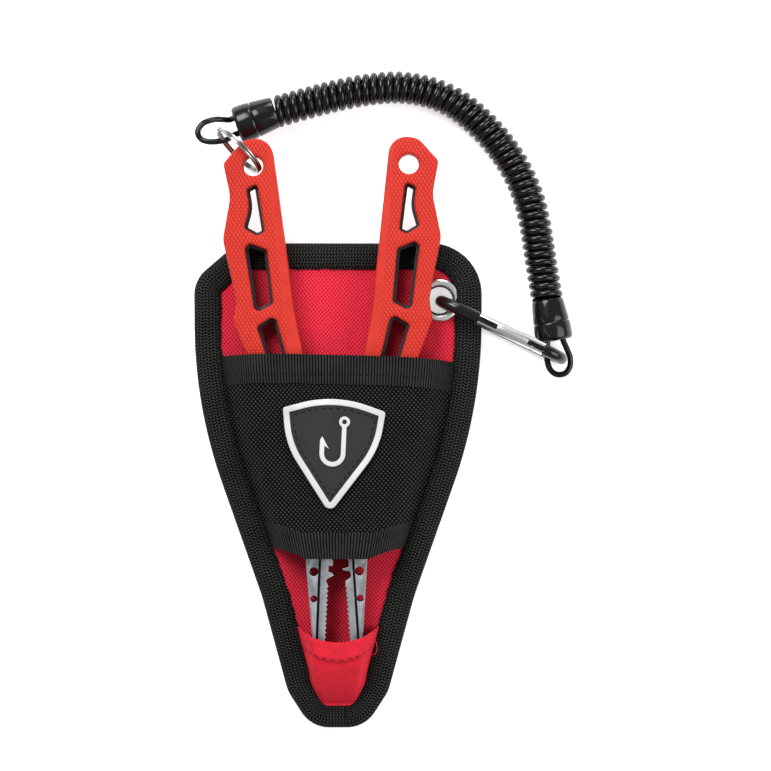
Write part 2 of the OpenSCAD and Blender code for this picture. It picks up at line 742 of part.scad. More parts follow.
back_shell();
foam_core();
lining();
edge_binding();
pocket_panel();
pocket_top_hem();
pocket_bottom_hem();
toe_pocket();
toe_pocket_hem();
badge_base();
badge_border();
badge_emblem();
eyelet();
eyelet_washer();
belt_loop();
left_handle_frame();
right_handle_frame();
left_handle_grip();
right_handle_grip();
left_jaw_insert();
right_jaw_insert();
left_jaw_screws();
right_jaw_screws();
left_cutter();
right_cutter();
pivot_bolt();
pivot_nut();
pivot_washer();
return_spring();
coil_cord();
pliers_end_cap();
pliers_end_plug();
pliers_end_loop();
clip_end_cap();
clip_end_plug();
clip_end_loop();
split_ring();
carabiner_body();
carabiner_gate();
gate_pin();
gate_spring();
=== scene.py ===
"""Looks for the fishing pliers, their sheath and coiled lanyard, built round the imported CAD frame.

Lengths in this script are millimetres in the CAD model's own frame; MM turns them into metres.
"""
import math
import random
from contextlib import contextmanager

import bmesh
import bpy
from mathutils import Matrix, Vector, noise


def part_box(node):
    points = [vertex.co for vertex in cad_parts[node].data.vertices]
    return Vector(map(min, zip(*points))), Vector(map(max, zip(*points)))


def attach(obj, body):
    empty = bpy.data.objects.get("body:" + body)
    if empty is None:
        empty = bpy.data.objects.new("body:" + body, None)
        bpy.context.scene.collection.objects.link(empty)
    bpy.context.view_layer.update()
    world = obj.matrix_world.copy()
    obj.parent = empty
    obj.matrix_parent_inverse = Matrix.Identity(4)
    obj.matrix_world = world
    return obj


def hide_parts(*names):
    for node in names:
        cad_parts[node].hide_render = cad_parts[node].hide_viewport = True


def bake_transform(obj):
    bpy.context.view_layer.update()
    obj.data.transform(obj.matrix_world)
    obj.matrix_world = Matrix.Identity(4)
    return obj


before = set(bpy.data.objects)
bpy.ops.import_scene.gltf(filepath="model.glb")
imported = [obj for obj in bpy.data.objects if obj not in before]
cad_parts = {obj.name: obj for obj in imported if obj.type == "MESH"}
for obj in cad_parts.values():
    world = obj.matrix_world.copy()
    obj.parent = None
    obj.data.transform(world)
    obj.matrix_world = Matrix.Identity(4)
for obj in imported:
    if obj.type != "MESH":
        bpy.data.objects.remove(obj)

MM = 0.001
UP = Vector((0, 0, 1))
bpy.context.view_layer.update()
rng = random.Random(7)
scene = bpy.context.scene


def span_mm(node):
    """Lowest and highest corner of a CAD node in millimetres."""
    low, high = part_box(node)
    return low / MM, high / MM


# ---- Heights and places from the frame ----

BACK_Z = span_mm("back_shell")[0].z
FRONT_Z = span_mm("lining")[1].z
PANEL_T = 1.1
POCKET_H = span_mm("pocket_panel")[1].z - FRONT_Z - PANEL_T
BADGE_Z = span_mm("badge_base")[0].z
GRIP_Z = [corner.z for corner in span_mm("left_handle_grip")]
MID_Z = sum(GRIP_Z) / 2
JAW_Z = [corner.z for corner in span_mm("left_jaw_insert")]
FRAME_T = JAW_Z[1] - JAW_Z[0]
SHEATH_HALF_W = 52
SHEATH_TOP_Y = 68.7
SHEATH_LOW_Y = -106.1
PIVOT = Vector((-0.9, -8.8))
LEAN = math.radians(0.8)
EYELET_AT = Vector((36.6, 48))
EYELET_R = 7.7
EYELET_HOLE_R = 4.7

# ---- Outlines: corners as x, y, radius ----

LOWER_SIDE = [(SHEATH_HALF_W - 0.3, 9.8, 173), (27.6, -58.5, 80), (18.2, -93, 16),
              (9.7, SHEATH_LOW_Y, 12)]
SHOULDERS = [(SHEATH_HALF_W, SHEATH_TOP_Y, 18.5), (-36.5, SHEATH_TOP_Y, 14),
             (-SHEATH_HALF_W, 55.5, 12)]
OUTLINE = LOWER_SIDE[::-1] + SHOULDERS + [(-x, y, r) for x, y, r in LOWER_SIDE]
GRIP_OUTLINE = [
    (7.8, 21.5, 2), (24.6, 21, 2.5), (35.7, 49.6, 6), (34.3, 56, 12), (39, 78.8, 10),
    (36.1, 94, 14), (38.5, 105.8, 2.5), (31.4, 113.8, 5), (21.4, 115.9, 6.5),
    (16.5, 75, 60), (13.9, 53, 60),
]
GRIP_SLOTS = [
    [(24, 81.2, 1.2), (26.8, 79.9, 1.5), (31.4, 82.6, 1.5), (29.3, 90, 12), (30.3, 96.5, 1),
     (26.5, 98.6, 1.2)],
    [(21.3, 55.6, 1.5), (26.6, 52.8, 1.5), (28.2, 54.2, 1.2), (31.2, 75.5, 1.2),
     (29.6, 77.2, 1.2), (23.3, 74.8, 1)],
    [(14.2, 25.4, 1.5), (20, 24, 1.5), (27.3, 47.4, 1.2), (22.2, 50.6, 1.5), (20.2, 49.6, 1.2)],
]
HANDLE_HOLE = Vector((27.8, 104.8))
HANDLE_HOLE_R = 3.6
SHIELD = [(-18.3, 15.2, 1.2), (-16.6, 2, 30), (0, -21.8, 2.5), (16.6, 2, 30), (18.3, 15.2, 1.2),
          (0, 20.9, 40)]
BADGE_AT = Vector((-1.8, -6.5))
BADGE_TURN = math.radians(-2.6)

# ---- Cord routes, as in the CAD model ----

COIL_ROUTE = [
    (-21.9, 116.4), (-10.5, 119.6), (1, 122.5), (12.5, 124.5), (23, 125), (34, 123),
    (43.5, 118.5), (52, 111.5), (59, 103.5), (64.5, 95), (68.5, 86), (71, 76.5),
    (72.5, 67), (74, 57.5), (75.5, 48.5),
]
COIL_D = 12
COIL_WIRE_D = 2.6
COIL_PITCH = 2.9
# The coil starts to leave the carabiner at COIL_FIXED and has left it at COIL_SPLIT, where it is in
# two pieces.
COIL_FIXED = Vector((75.5, 49, 0))
COIL_SPLIT = Vector((72, 62, 0))
COIL_FREE = Vector((46, 117, 0))
CAP_LEN = 15.2
CAP_FACE_D = 13.6
CAP_NECK_D = 11.4
CAP_Z = CAP_FACE_D / 2 + 0.05
CAP_1 = ((-22.5, 116.2), 199.7)
CAP_2 = ((75.5, 48.4), -79.7)
LOOP_D = 2.2
LOOP_SUNK = 1.3
LOOP_1_ROUTE = [
    (-38.1, 113.7, 6.9), (-39.5, 113.2, 7.2), (-41.5, 113.2, 8.8), (-44.9, 113, 10.6),
    (-48.6, 111.5, 11.6), (-50.4, 108.6, 12), (-49.3, 106, 12.2), (-46.3, 104.9, 12.4),
    (-41.3, 105.3, 11.9), (-39, 106.5, 9.6), (-37.5, 107.8, 7.5), (-36.1, 108.3, 6.9),
]
LOOP_2_ROUTE = [
    (75.6, 32.6, 6.9), (75.3, 30, 6.8), (75.5, 26.5, 6.7), (76.4, 23.4, 6.6),
    (78.2, 21.6, 6.6), (80.3, 21.2, 6.6), (82.4, 22, 6.6), (83.8, 24.4, 6.6),
    (83.8, 27.5, 6.7), (82.6, 30.6, 6.8), (81.3, 33.6, 6.9),
]
RING_AT = Vector((-35.5, 101.6, 15.5))
RING_D = 21.6
RING_TURN = math.radians(-44.4)
RING_TILT = math.radians(10)
CLIP_AT = Vector((37, 47.6, 0))
CLIP_TURN = math.radians(-25.4)
CLIP_R = 2.15
CLIP_LOW_Z = CLIP_R + 0.05
CLIP_HIGH_Z = 19.4
CLIP_NEAR_R = 7
CLIP_FAR_R = 6
CLIP_RUN = 47.9
NOSE_S = 14.4
PIN_S = 36.4
GATE_TAIL = 4.3


# ---- Outline geometry ----

def heading(angle):
    return Vector((math.cos(angle), math.sin(angle)))


def turned(angle, x, y):
    """The direction x turned towards the direction y."""
    return math.cos(angle) * x + math.sin(angle) * y


def runs_along(path):
    """How far along path each of its points lies."""
    runs = [0.0]
    for a, b in zip(path, path[1:]):
        runs.append(runs[-1] + (b - a).length)
    return runs


def corner_arc(p, q, s, radius, steps):
    """Points of the rounded corner q between p and s."""
    u, w = (p - q).normalized(), (s - q).normalized()
    half = math.acos(max(-1, min(1, u.dot(w)))) / 2
    middle = q + (u + w).normalized() * radius / math.sin(half)
    first = q + u * radius / math.tan(half) - middle
    last = q + w * radius / math.tan(half) - middle
    start = math.atan2(first.y, first.x)
    sweep = (math.atan2(last.y, last.x) - start + 3 * math.pi) % (2 * math.pi) - math.pi
    turns = [start + sweep * i / steps for i in range(steps + 1)]
    return [middle + radius * heading(a) for a in turns]


def rounded(corners, steps):
    """The outline of corners (x, y, radius), each corner rounded in so many steps."""
    points = []
    for i, (x, y, radius) in enumerate(corners):
        q = Vector((x, y))
        p, s = Vector(corners[i - 1][:2]), Vector(corners[(i + 1) % len(corners)][:2])
        points += corner_arc(p, q, s, radius, steps)
    return points


def inset(corners, distance):
    """The same corners moved inwards, for an anticlockwise outline."""
    moved = []
    for i, (x, y, radius) in enumerate(corners):
        q = Vector((x, y))
        e1 = (q - Vector(corners[i - 1][:2])).normalized()
        e2 = (Vector(corners[(i + 1) % len(corners)][:2]) - q).normalized()
        n1, n2 = Vector((-e1.y, e1.x)), Vector((-e2.y, e2.x))
        turn = e1.x * e2.y - e1.y * e2.x
        at = q + (n1 + n2) * distance / (1 + n1.dot(n2))
        moved.append((at.x, at.y, max(0.3, radius - math.copysign(distance, turn))))
    return moved


def refine(points, step):
    """The closed outline with each segment cut into equal pieces no longer than step."""
    out = []
    for a, b in zip(points, points[1:] + points[:1]):
        n = max(1, math.ceil((b - a).length / step))
        out += [a.lerp(b, k / n) for k in range(n)]
    return out


def catmull(points, step):
    """A smooth curve through points, with about one point every step."""
    pts = [Vector(p) for p in points]
    pts = [2 * pts[0] - pts[1]] + pts + [2 * pts[-1] - pts[-2]]
    out = []
    for p0, p1, p2, p3 in zip(pts, pts[1:], pts[2:], pts[3:]):
        n = max(1, round((p2 - p1).length / step))
        for k in range(n):
            t = k / n
            out.append(0.5 * (2 * p1 + (p2 - p0) * t + (2 * p0 - 5 * p1 + 4 * p2 - p3) * t * t
                              + (3 * p1 - p0 - 3 * p2 + p3) * t ** 3))
    out.append(pts[-2])
    return out


# What edge_x has worked out: outlines by distance, and reaches by height, distance and side
SIDES = {}
EDGES = {}


def edge_x(y, distance, side):
    """How far the sheath reaches from its middle at height y on one side (1 or -1), for the
    outline moved inwards by distance."""
    key = (round(y, 4), round(distance, 3), side)
    if key not in EDGES:
        if key[1] not in SIDES:
            SIDES[key[1]] = rounded(inset(OUTLINE, distance), 12)
        points = SIDES[key[1]]
        best = 0.0
        for a, b in zip(points, points[1:] + points[:1]):
            if (a.y - y) * (b.y - y) <= 0 and abs(a.y - b.y) > 1e-9:
                best = max(best, side * a.lerp(b, (y - a.y) / (b.y - a.y)).x)
        EDGES[key] = best
    return EDGES[key]


def moved_in(points, distance):
    """A closed, smooth outline of close points moved inwards along its normals."""
    out = []
    for i, p in enumerate(points):
        t = (points[(i + 1) % len(points)] - points[i - 1]).normalized()
        out.append(p + Vector((-t.y, t.x)) * distance)
    return out


def smooth_step(value, low, high):
    """0 below low, 1 above high, and a soft rise between them."""
    t = max(0.0, min(1.0, (value - low) / (high - low)))
    return t * t * (3 - 2 * t)


# ---- Mesh makers (points in millimetres) ----

@contextmanager
def editing(mesh):
    """The mesh as a bmesh, which is written back at the end of the block."""
    bm = bmesh.new()
    bm.from_mesh(mesh)
    yield bm
    bm.to_mesh(mesh)
    bm.free()


def add(name, data):
    """A new object in the scene."""
    obj = bpy.data.objects.new(name, data)
    scene.collection.objects.link(obj)
    return obj


def smooth_mesh(mesh, angle):
    """Smooth shading, but for edges sharper than angle."""
    mesh.shade_smooth()
    mesh.set_sharp_from_angle(angle=math.radians(angle))


def new_object(name, points, faces, uvs=None, angle=35):
    """A mesh object in the CAD frame. uvs holds one (u, v) in millimetres per vertex."""
    mesh = bpy.data.meshes.new(name)
    mesh.from_pydata([Vector(p) * MM for p in points], [], faces)
    if uvs:
        layer = mesh.uv_layers.new(name="UVMap")
        for corner in mesh.loops:
            layer.data[corner.index].uv = uvs[corner.vertex_index]
    mesh.validate()
    smooth_mesh(mesh, angle)
    return add(name, mesh)


def new_solid(name, points, faces, uvs, angle):
    """A closed mesh object, with its faces turned outwards."""
    obj = new_object(name, points, faces, uvs, angle)
    with editing(obj.data) as bm:
        bmesh.ops.recalc_face_normals(bm, faces=bm.faces)
    return obj


def tube_faces(rings, sides, base=0):
    """The side faces and both ends of a tube whose points go round each ring in turn."""
    faces = []
    for i in range(rings - 1):
        for k in range(sides):
            a, b = base + i * sides + k, base + i * sides + (k + 1) % sides
            faces.append((a, b, b + sides, a + sides))
    faces.append(tuple(base + k for k in range(sides))[::-1])
    faces.append(tuple(base + (rings - 1) * sides + k for k in range(sides)))
    return faces


def ring_faces(turns, n):
    """The faces of a closed section of n points that goes all the way round in so many turns."""
    return [
        (k * n + i, ((k + 1) % turns) * n + i, ((k + 1) % turns) * n + (i + 1) % n,
         k * n + (i + 1) % n)
        for k in range(turns) for i in range(n)
    ]


def grid_sheet(name, at, cols, rows, thickness, uv_at=None, hole=None):
    """A closed sheet over a grid: at(u, v) gives its outer face for u and v in 0..1.
    The inner face lies thickness behind it along the normal. hole(x, y) leaves a gap."""
    outer = [[Vector(at(i / cols, j / rows)) for i in range(cols + 1)] for j in range(rows + 1)]
    flat = [p for row in outer for p in row]
    normals = []
    for j in range(rows + 1):
        for i in range(cols + 1):
            du = outer[j][min(i + 1, cols)] - outer[j][max(i - 1, 0)]
            dv = outer[min(j + 1, rows)][i] - outer[max(j - 1, 0)][i]
            normals.append(du.cross(dv).normalized())
    points = flat + [p - n * thickness for p, n in zip(flat, normals)]
    count = len(flat)
    kept = []
    for j in range(rows):
        for i in range(cols):
            middle = (outer[j][i] + outer[j + 1][i + 1]) / 2
            if not (hole and hole(middle.x, middle.y)):
                a = j * (cols + 1) + i
                kept.append((a, a + 1, a + cols + 2, a + cols + 1))
    edges = dict.fromkeys((a, b) for f in kept for a, b in zip(f, f[1:] + f[:1]))
    rim = [e for e in edges if (e[1], e[0]) not in edges]
    faces = kept + [tuple(count + k for k in reversed(f)) for f in kept]
    faces += [(b, a, a + count, b + count) for a, b in rim]
    uvs = None
    if uv_at:
        uvs = [uv_at(i / cols, j / rows) for j in range(rows + 1) for i in range(cols + 1)] * 2
    obj = new_object(name, points, faces, uvs, 60)
    with editing(obj.data) as bm:
        bmesh.ops.delete(bm, geom=[v for v in bm.verts if not v.link_faces], context="VERTS")
    return obj


def tangent(path, i):
    """The direction of path at point i, from its neighbours."""
    return (path[min(i + 1, len(path) - 1)] - path[max(i - 1, 0)]).normalized()


def frames_along(path):
    """Side and up at each point, turned as little as possible from one to the next."""
    out = []
    side = None
    for i in range(len(path)):
        t = tangent(path, i)
        if side is None:
            side = t.cross(UP if abs(t.z) < 0.9 else Vector((1, 0, 0)))
        side = (side - t * side.dot(t)).normalized()
        out.append((side, side.cross(t)))
    return out


def tube(name, path, radius, sides):
    """A round tube with flat ends along path. radius is a number or a function of 0..1."""
    n = len(path)
    points, uvs = [], []
    for i, (p, run, (side, up)) in enumerate(zip(path, runs_along(path), frames_along(path))):
        r = radius(i / (n - 1)) if callable(radius) else radius
        for k in range(sides):
            points.append(p + r * turned(2 * math.pi * k / sides, side, up))
            uvs.append((run, k / sides))
    return new_solid(name, points, tube_faces(n, sides), uvs, 60)


def lathe(name, profile, spot, steps):
    """profile is (radius, height) round spot's own Z axis; spot is a 4x4 in millimetres."""
    points = [
        spot @ Vector((r * math.cos(2 * math.pi * k / steps), r * math.sin(2 * math.pi * k / steps), h))
        for k in range(steps) for r, h in profile
    ]
    obj = new_object(name, points, ring_faces(steps, len(profile)), None, 40)
    with editing(obj.data) as bm:
        bmesh.ops.remove_doubles(bm, verts=bm.verts, dist=1e-6)
        bmesh.ops.recalc_face_normals(bm, faces=bm.faces)
    smooth_mesh(obj.data, 40)
    return obj


def plate(name, outer, holes, low, high, bevel, spot, segments=3):
    """A flat plate with rounded edges, from outlines of 2D points; spot is a 4x4 in metres."""
    curve = bpy.data.curves.new(name, "CURVE")
    curve.dimensions = "2D"
    curve.fill_mode = "BOTH"
    for points in [outer] + [h[::-1] for h in holes]:
        spline = curve.splines.new("POLY")
        spline.points.add(len(points) - 1)
        for target, p in zip(spline.points, points):
            target.co = (p.x * MM, p.y * MM, 0, 1)
        spline.use_cyclic_u = True
    curve.extrude = ((high - low) / 2 - bevel) * MM
    curve.bevel_depth = bevel * MM
    curve.bevel_resolution = segments
    curve.offset = -bevel * MM
    holder = add(name + "_curve", curve)
    bpy.context.view_layer.update()
    graph = bpy.context.evaluated_depsgraph_get()
    mesh = bpy.data.meshes.new_from_object(holder.evaluated_get(graph))
    bpy.data.objects.remove(holder)
    bpy.data.curves.remove(curve)
    mesh.transform(Matrix.Translation((0, 0, (low + high) / 2 * MM)))
    mesh.transform(spot)
    if spot.determinant() < 0:
        mesh.flip_normals()
    with editing(mesh) as bm:
        bmesh.ops.remove_doubles(bm, verts=bm.verts, dist=2e-6)
    mesh.name = name
    smooth_mesh(mesh, 28)
    return add(name, mesh)


def bevelled(bm, edges, width, segments):
    bmesh.ops.bevel(bm, geom=edges, offset=width * MM, segments=segments, profile=0.5,
                    affect="EDGES", clamp_overlap=True)


def refined(node, name, bevel, segments=2):
    """A copy of a CAD node with its sharp edges broken, which stands for the node."""
    obj = add(name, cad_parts[node].data.copy())
    with editing(obj.data) as bm:
        bmesh.ops.remove_doubles(bm, verts=bm.verts, dist=1e-6)
        bmesh.ops.dissolve_limit(
            bm, angle_limit=math.radians(1), verts=bm.verts, edges=bm.edges, delimit=set())
        inner = [e for e in bm.edges if len(e.link_faces) == 2]
        bevelled(bm, [e for e in inner if e.calc_face_angle() > math.radians(25)], bevel, segments)
    smooth_mesh(obj.data, 32)
    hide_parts(node)
    return obj


def join(name, parts):
    """One object from several meshes that share a material."""
    bm = bmesh.new()
    for part in parts:
        bm.from_mesh(part.data)
        bpy.data.objects.remove(part)
    mesh = bpy.data.meshes.new(name)
    bm.to_mesh(mesh)
    bm.free()
    smooth_mesh(mesh, 50)
    return add(name, mesh)


def stitches(name, path, length, space, radius):
    """A row of thread stitches along path, each one a short arched bead."""
    points, faces = [], []
    runs = runs_along(path)

    def at(run):
        i = max(0, min(len(path) - 2, next((k for k, r in enumerate(runs) if r > run), len(runs)) - 1))
        share = (run - runs[i]) / max(1e-9, runs[i + 1] - runs[i])
        return path[i].lerp(path[i + 1], share)

    rings, sides = 6, 6
    start = space / 2
    while start + length < runs[-1]:
        base = len(points)
        jitter = rng.uniform(-0.1, 0.1)
        for i in range(rings + 1):
            share = i / rings
            p = at(start + length * share)
            q = at(min(runs[-1], start + length * share + 0.05))
            t = (q - p).normalized() if (q - p).length > 1e-9 else Vector((1, 0, 0))
            side = t.cross(UP).normalized()
            up = side.cross(t)
            r = radius * (0.35 + 0.65 * math.sin(math.pi * share) ** 0.5)
            middle = p + up * (radius * (0.9 * math.sin(math.pi * share) - 0.45)) + side * jitter
            points += [middle + r * turned(2 * math.pi * k / sides, side, up) for k in range(sides)]
        faces += tube_faces(rings + 1, sides, base)
        start += length + space
    return new_solid(name, points, faces, None, 80)


# ---- Material makers ----

class Value:
    """A number or colour that varies over a surface: a node's output that takes + - * and /."""

    def __init__(self, shader, socket):
        self.shader = shader
        self.socket = socket

    def __add__(self, other):
        return self.shader.op("ADD", self, other)

    def __sub__(self, other):
        return self.shader.op("SUBTRACT", self, other)

    def __rsub__(self, other):
        return self.shader.op("SUBTRACT", other, self)

    def __mul__(self, other):
        return self.shader.op("MULTIPLY", self, other)

    def __truediv__(self, other):
        return self.shader.op("DIVIDE", self, other)


class Shader:
    """A principled material and short ways to add nodes to it."""

    def __init__(self, name, color, roughness, metallic=0.0, specular=0.5, coat=0.0):
        self.material = bpy.data.materials.new(name)
        self.material.use_nodes = True
        self.tree = self.material.node_tree
        self.bsdf = self.tree.nodes["Principled BSDF"]
        self.bsdf.inputs["Base Color"].default_value = (*color, 1)
        self.bsdf.inputs["Roughness"].default_value = roughness
        self.bsdf.inputs["Metallic"].default_value = metallic
        self.bsdf.inputs["Specular IOR Level"].default_value = specular
        self.bsdf.inputs["Coat Weight"].default_value = coat
        self.bsdf.inputs["Coat Roughness"].default_value = 0.08

    def feed(self, socket, value):
        """Link a Value to a socket, or set the socket to a colour or a number."""
        if isinstance(value, Value):
            self.tree.links.new(value.socket, socket)
        elif isinstance(value, tuple):
            socket.default_value = (*value, 1)
        else:
            socket.default_value = value

    def op(self, kind, *values):
        node = self.tree.nodes.new("ShaderNodeMath")
        node.operation = kind
        for socket, value in zip(node.inputs, values):
            self.feed(socket, value)
        return Value(self, node.outputs[0])

    def coords(self, kind="Object", scale=1 / MM):
        """X, Y and Z in millimetres from object coordinates, or from a UV map in millimetres."""
        source = self.tree.nodes.new("ShaderNodeTexCoord").outputs[kind]
        split = self.tree.nodes.new("ShaderNodeSeparateXYZ")
        self.tree.links.new(source, split.inputs[0])
        return [Value(self, output) * scale for output in split.outputs]

    def noise(self, size_mm, detail=3.0, rough=0.55):
        """Soft noise from 0 to 1 with features about size_mm across."""
        source = self.tree.nodes.new("ShaderNodeTexCoord").outputs["Object"]
        node = self.tree.nodes.new("ShaderNodeTexNoise")
        self.tree.links.new(source, node.inputs["Vector"])
        node.inputs["Scale"].default_value = 1 / (size_mm * MM)
        node.inputs["Detail"].default_value = detail
        node.inputs["Roughness"].default_value = rough
        return Value(self, node.outputs["Fac"])

    def ramp(self, value, low, high, stops):
        """The colour from low to high as value goes from one stop to the other."""
        node = self.tree.nodes.new("ShaderNodeValToRGB")
        for element, stop, color in zip(node.color_ramp.elements, stops, (low, high)):
            element.position = stop
            element.color = (*color, 1)
        self.feed(node.inputs[0], value)
        return Value(self, node.outputs[0])

    def scaled(self, value, low, high):
        return self.op("MULTIPLY_ADD", value, high - low, low)

    def mix(self, factor, a, b):
        node = self.tree.nodes.new("ShaderNodeMix")
        node.data_type = "RGBA"
        for index, value in ((0, factor), (6, a), (7, b)):
            self.feed(node.inputs[index], value)
        return Value(self, node.outputs[2])

    def wave(self, value):
        """Bumps of height 1, one for each whole step of value."""
        return self.op("ABSOLUTE", self.op("SINE", value * math.pi))

    def color(self, source):
        self.feed(self.bsdf.inputs["Base Color"], source)

    def roughness(self, source, low, high):
        self.feed(self.bsdf.inputs["Roughness"], self.scaled(source, low, high))

    def bump(self, height, depth_mm):
        node = self.tree.nodes.new("ShaderNodeBump")
        node.inputs["Strength"].default_value = 1.0
        node.inputs["Distance"].default_value = depth_mm * MM
        self.feed(node.inputs["Height"], height)
        self.tree.links.new(node.outputs[0], self.bsdf.inputs["Normal"])

    def dye(self, shade, dark, light, stops, cloud):
        """Colour from dark to light by shade, with clouds of (size, detail, low, high)."""
        size, detail, low, high = cloud
        self.color(self.ramp(shade * self.scaled(self.noise(size, detail), low, high), dark, light, stops))


def checks(s, pitch, aspect, turn):
    """A board of yarn crossings: place along the board, which squares are odd, and two humps."""
    x, y, _ = s.coords()
    c, n = math.cos(turn), math.sin(turn)
    u = (x * c + y * n) / pitch
    v = (x * -n + y * c) / (pitch * aspect)
    cell = s.op("FLOOR", u) + s.op("FLOOR", v)
    odd = s.op("FRACT", cell * 0.5) * 2.0
    hump_u = s.op("SINE", s.op("FRACT", u) * math.pi)
    hump_v = s.op("SINE", s.op("FRACT", v) * math.pi)
    return v, odd, hump_u, hump_v


def dotted(name, dark, light, pitch, depth, turn, aspect, size, roughness=0.7):
    """A close weave whose gaps show as small dark dots, staggered from row to row."""
    s = Shader(name, light, roughness, specular=0.06)
    _, odd, hump_u, hump_v = checks(s, pitch, aspect, turn)
    body = 1.0 - hump_u * hump_v * odd * size
    s.dye(body, dark, light, (0.15, 0.85), (14, 2.0, 0.88, 1.06))
    s.roughness(s.noise(3.0), roughness - 0.08, roughness + 0.1)
    s.bump(body, depth)
    return s.material


def woven(name, dark, light, pitch, depth, turn=0.0, roughness=0.75, aspect=0.8, under=0.35,
          stops=(0.08, 0.8)):
    """A plain weave of round yarns, over and under, with fine filaments along each yarn."""
    s = Shader(name, light, roughness, specular=0.035)
    v, odd, hump_u, hump_v = checks(s, pitch, aspect, turn)
    over = s.op("POWER", hump_u, 0.45) * s.op("POWER", hump_v, 0.7)
    body = over * odd + hump_u * hump_v * under * (1.0 - odd)
    filaments = s.op("SINE", v * (10 * math.pi)) * odd
    s.dye(body, dark, light, stops, (14, 2.0, 0.86, 1.1))
    s.roughness(s.noise(3.0), roughness - 0.08, roughness + 0.1)
    s.bump(body + filaments * 0.05, depth)
    return s.material


def taped(name, dark, light, pitch, column, depth, roughness=0.7):
    """Herringbone tape: slanted ribs whose slope turns at every column, from a UV in millimetres."""
    s = Shader(name, light, roughness, specular=0.04)
    u, v, _ = s.coords("UV", 1.0)
    across = v / column
    phase = u / pitch + s.op("PINGPONG", across, 1.0) * 0.75
    rib = s.op("SINE", phase * (2 * math.pi)) * 0.5 + 0.5
    height = rib * s.op("POWER", s.wave(across), 0.6)
    s.dye(height, dark, light, (0.15, 0.85), (7, 3.0, 0.7, 1.25))
    s.bump(height, depth)
    return s.material


def ribbed(name, dark, light, pitch, depth, roughness):
    """Grosgrain: straight ribs across the tape, from a UV in millimetres."""
    s = Shader(name, light, roughness, specular=0.04)
    u, v, _ = s.coords("UV", 1.0)
    thread = s.op("SINE", v * (2 * math.pi / 0.35))
    height = s.op("POWER", s.wave(u / pitch), 0.8) + thread * 0.05
    s.dye(height, dark, light, (0.42, 1.0), (8, 2.0, 0.75, 1.2))
    s.bump(height, depth)
    return s.material


def moulded(name, color, roughness, grain, depth, coat=0.0, spread=0.06):
    """Moulded plastic or rubber with a fine grain and slight variation in gloss."""
    s = Shader(name, color, roughness, specular=0.32 if roughness < 0.3 else 0.2, coat=coat)
    low = tuple(c * 0.88 for c in color)
    high = tuple(min(1, c * 1.1 + 0.002) for c in color)
    s.color(s.ramp(s.noise(12, 2.0), low, high, (0.3, 0.7)))
    s.roughness(s.noise(4, 3.0), roughness - spread, roughness + spread)
    s.bump(s.noise(grain, 3.0), depth)
    return s.material


def metal(name, color, roughness, grain, depth=0.01, spread=0.06):
    """Metal with a fine surface grain, faint stains and uneven polish."""
    s = Shader(name, color, roughness, metallic=1.0)
    s.color(s.ramp(s.noise(6, 4.0, 0.65), tuple(c * 0.82 for c in color), color, (0.3, 0.62)))
    s.roughness(s.noise(2.2, 4.0), roughness - spread, roughness + spread)
    s.bump(s.noise(grain, 2.0), depth)
    return s.material


def grip_material(name, side):
    """Red-orange plastic with a fine diamond texture, smooth along its inner edge and rim.
    It works in the pliers' own frame: across from their centre line, and along it."""
    s = Shader(name, (0.52, 0.028, 0.016), 0.5, specular=0.18)
    x, y, z = s.coords()
    dx, dy = x - PIVOT.x, y - PIVOT.y
    c, n = math.cos(LEAN), math.sin(LEAN)
    across = dx * (c * side) + dy * (n * side)
    along = dx * -n + dy * c
    pitch, slope = 1.4, 0.62
    lines = [s.wave(line / pitch) for line in (across + along * slope, across - along * slope)]
    diamond = s.op("POWER", s.op("MINIMUM", *lines), 0.55)
    past_edge = across - s.op("MULTIPLY_ADD", along, 0.093, 9.35)
    band = s.op("SMOOTH_MIN", s.op("MAXIMUM", past_edge - 2.4, 0.0), 1.0, 0.4)
    top = s.op("GREATER_THAN", s.op("ABSOLUTE", z - MID_Z), 4.4)
    mask = band * top
    shade = (diamond * 0.55 + 0.45) * s.scaled(s.noise(10, 2.0), 0.9, 1.08)
    base = s.ramp(shade, (0.37, 0.012, 0.007), (0.54, 0.030, 0.017), (0.42, 0.95))
    plain = s.ramp(s.noise(8, 2.0), (0.43, 0.021, 0.013), (0.50, 0.028, 0.016), (0.3, 0.7))
    s.color(s.mix(mask, plain, base))
    s.roughness(s.noise(1.2, 3.0), 0.42, 0.58)
    s.bump(diamond * mask, 0.22)
    return s.material


def jaw_material(name):
    """Bead-blasted grey on the flat faces. Every side and chamfer is painted near black as shade, and the
    metal inside the grips is painted dark all over as shade."""
    s = Shader(name, (0.30, 0.32, 0.34), 0.5, metallic=0.7)
    _, y, z = s.coords()
    # Painted shade: the metal inside the grips, seen through their slots, is painted dark
    painted_shade_tang = s.op("MINIMUM", s.op("MAXIMUM", (y + 12.0) * 0.08, 0.0), 1.0)
    flat = s.op("GREATER_THAN", s.op("ABSOLUTE", z - MID_Z), FRAME_T / 2 - 0.06)
    grain = s.noise(0.45, 3.0)
    blasted = s.ramp(s.noise(4, 4.0, 0.65), (0.20, 0.213, 0.228), (0.33, 0.348, 0.366), (0.3, 0.7))
    # Painted shade: near black on every side and chamfer, and on the metal inside the grips
    s.color(s.mix(flat * (1.0 - painted_shade_tang), (0.016, 0.017, 0.020), blasted))
    s.roughness(grain, 0.42, 0.6)
    s.bump(grain, 0.02)
    return s.material


def paint(obj, material):
    obj.data.materials.clear()
    obj.data.materials.append(MATERIALS[material])


def place(obj, material, body, slot, *replaced):
    """Material, body, slot and the CAD nodes a finished piece stands for; slot is not used."""
    paint(obj, material)
    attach(obj, body)
    if replaced:
        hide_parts(*replaced)


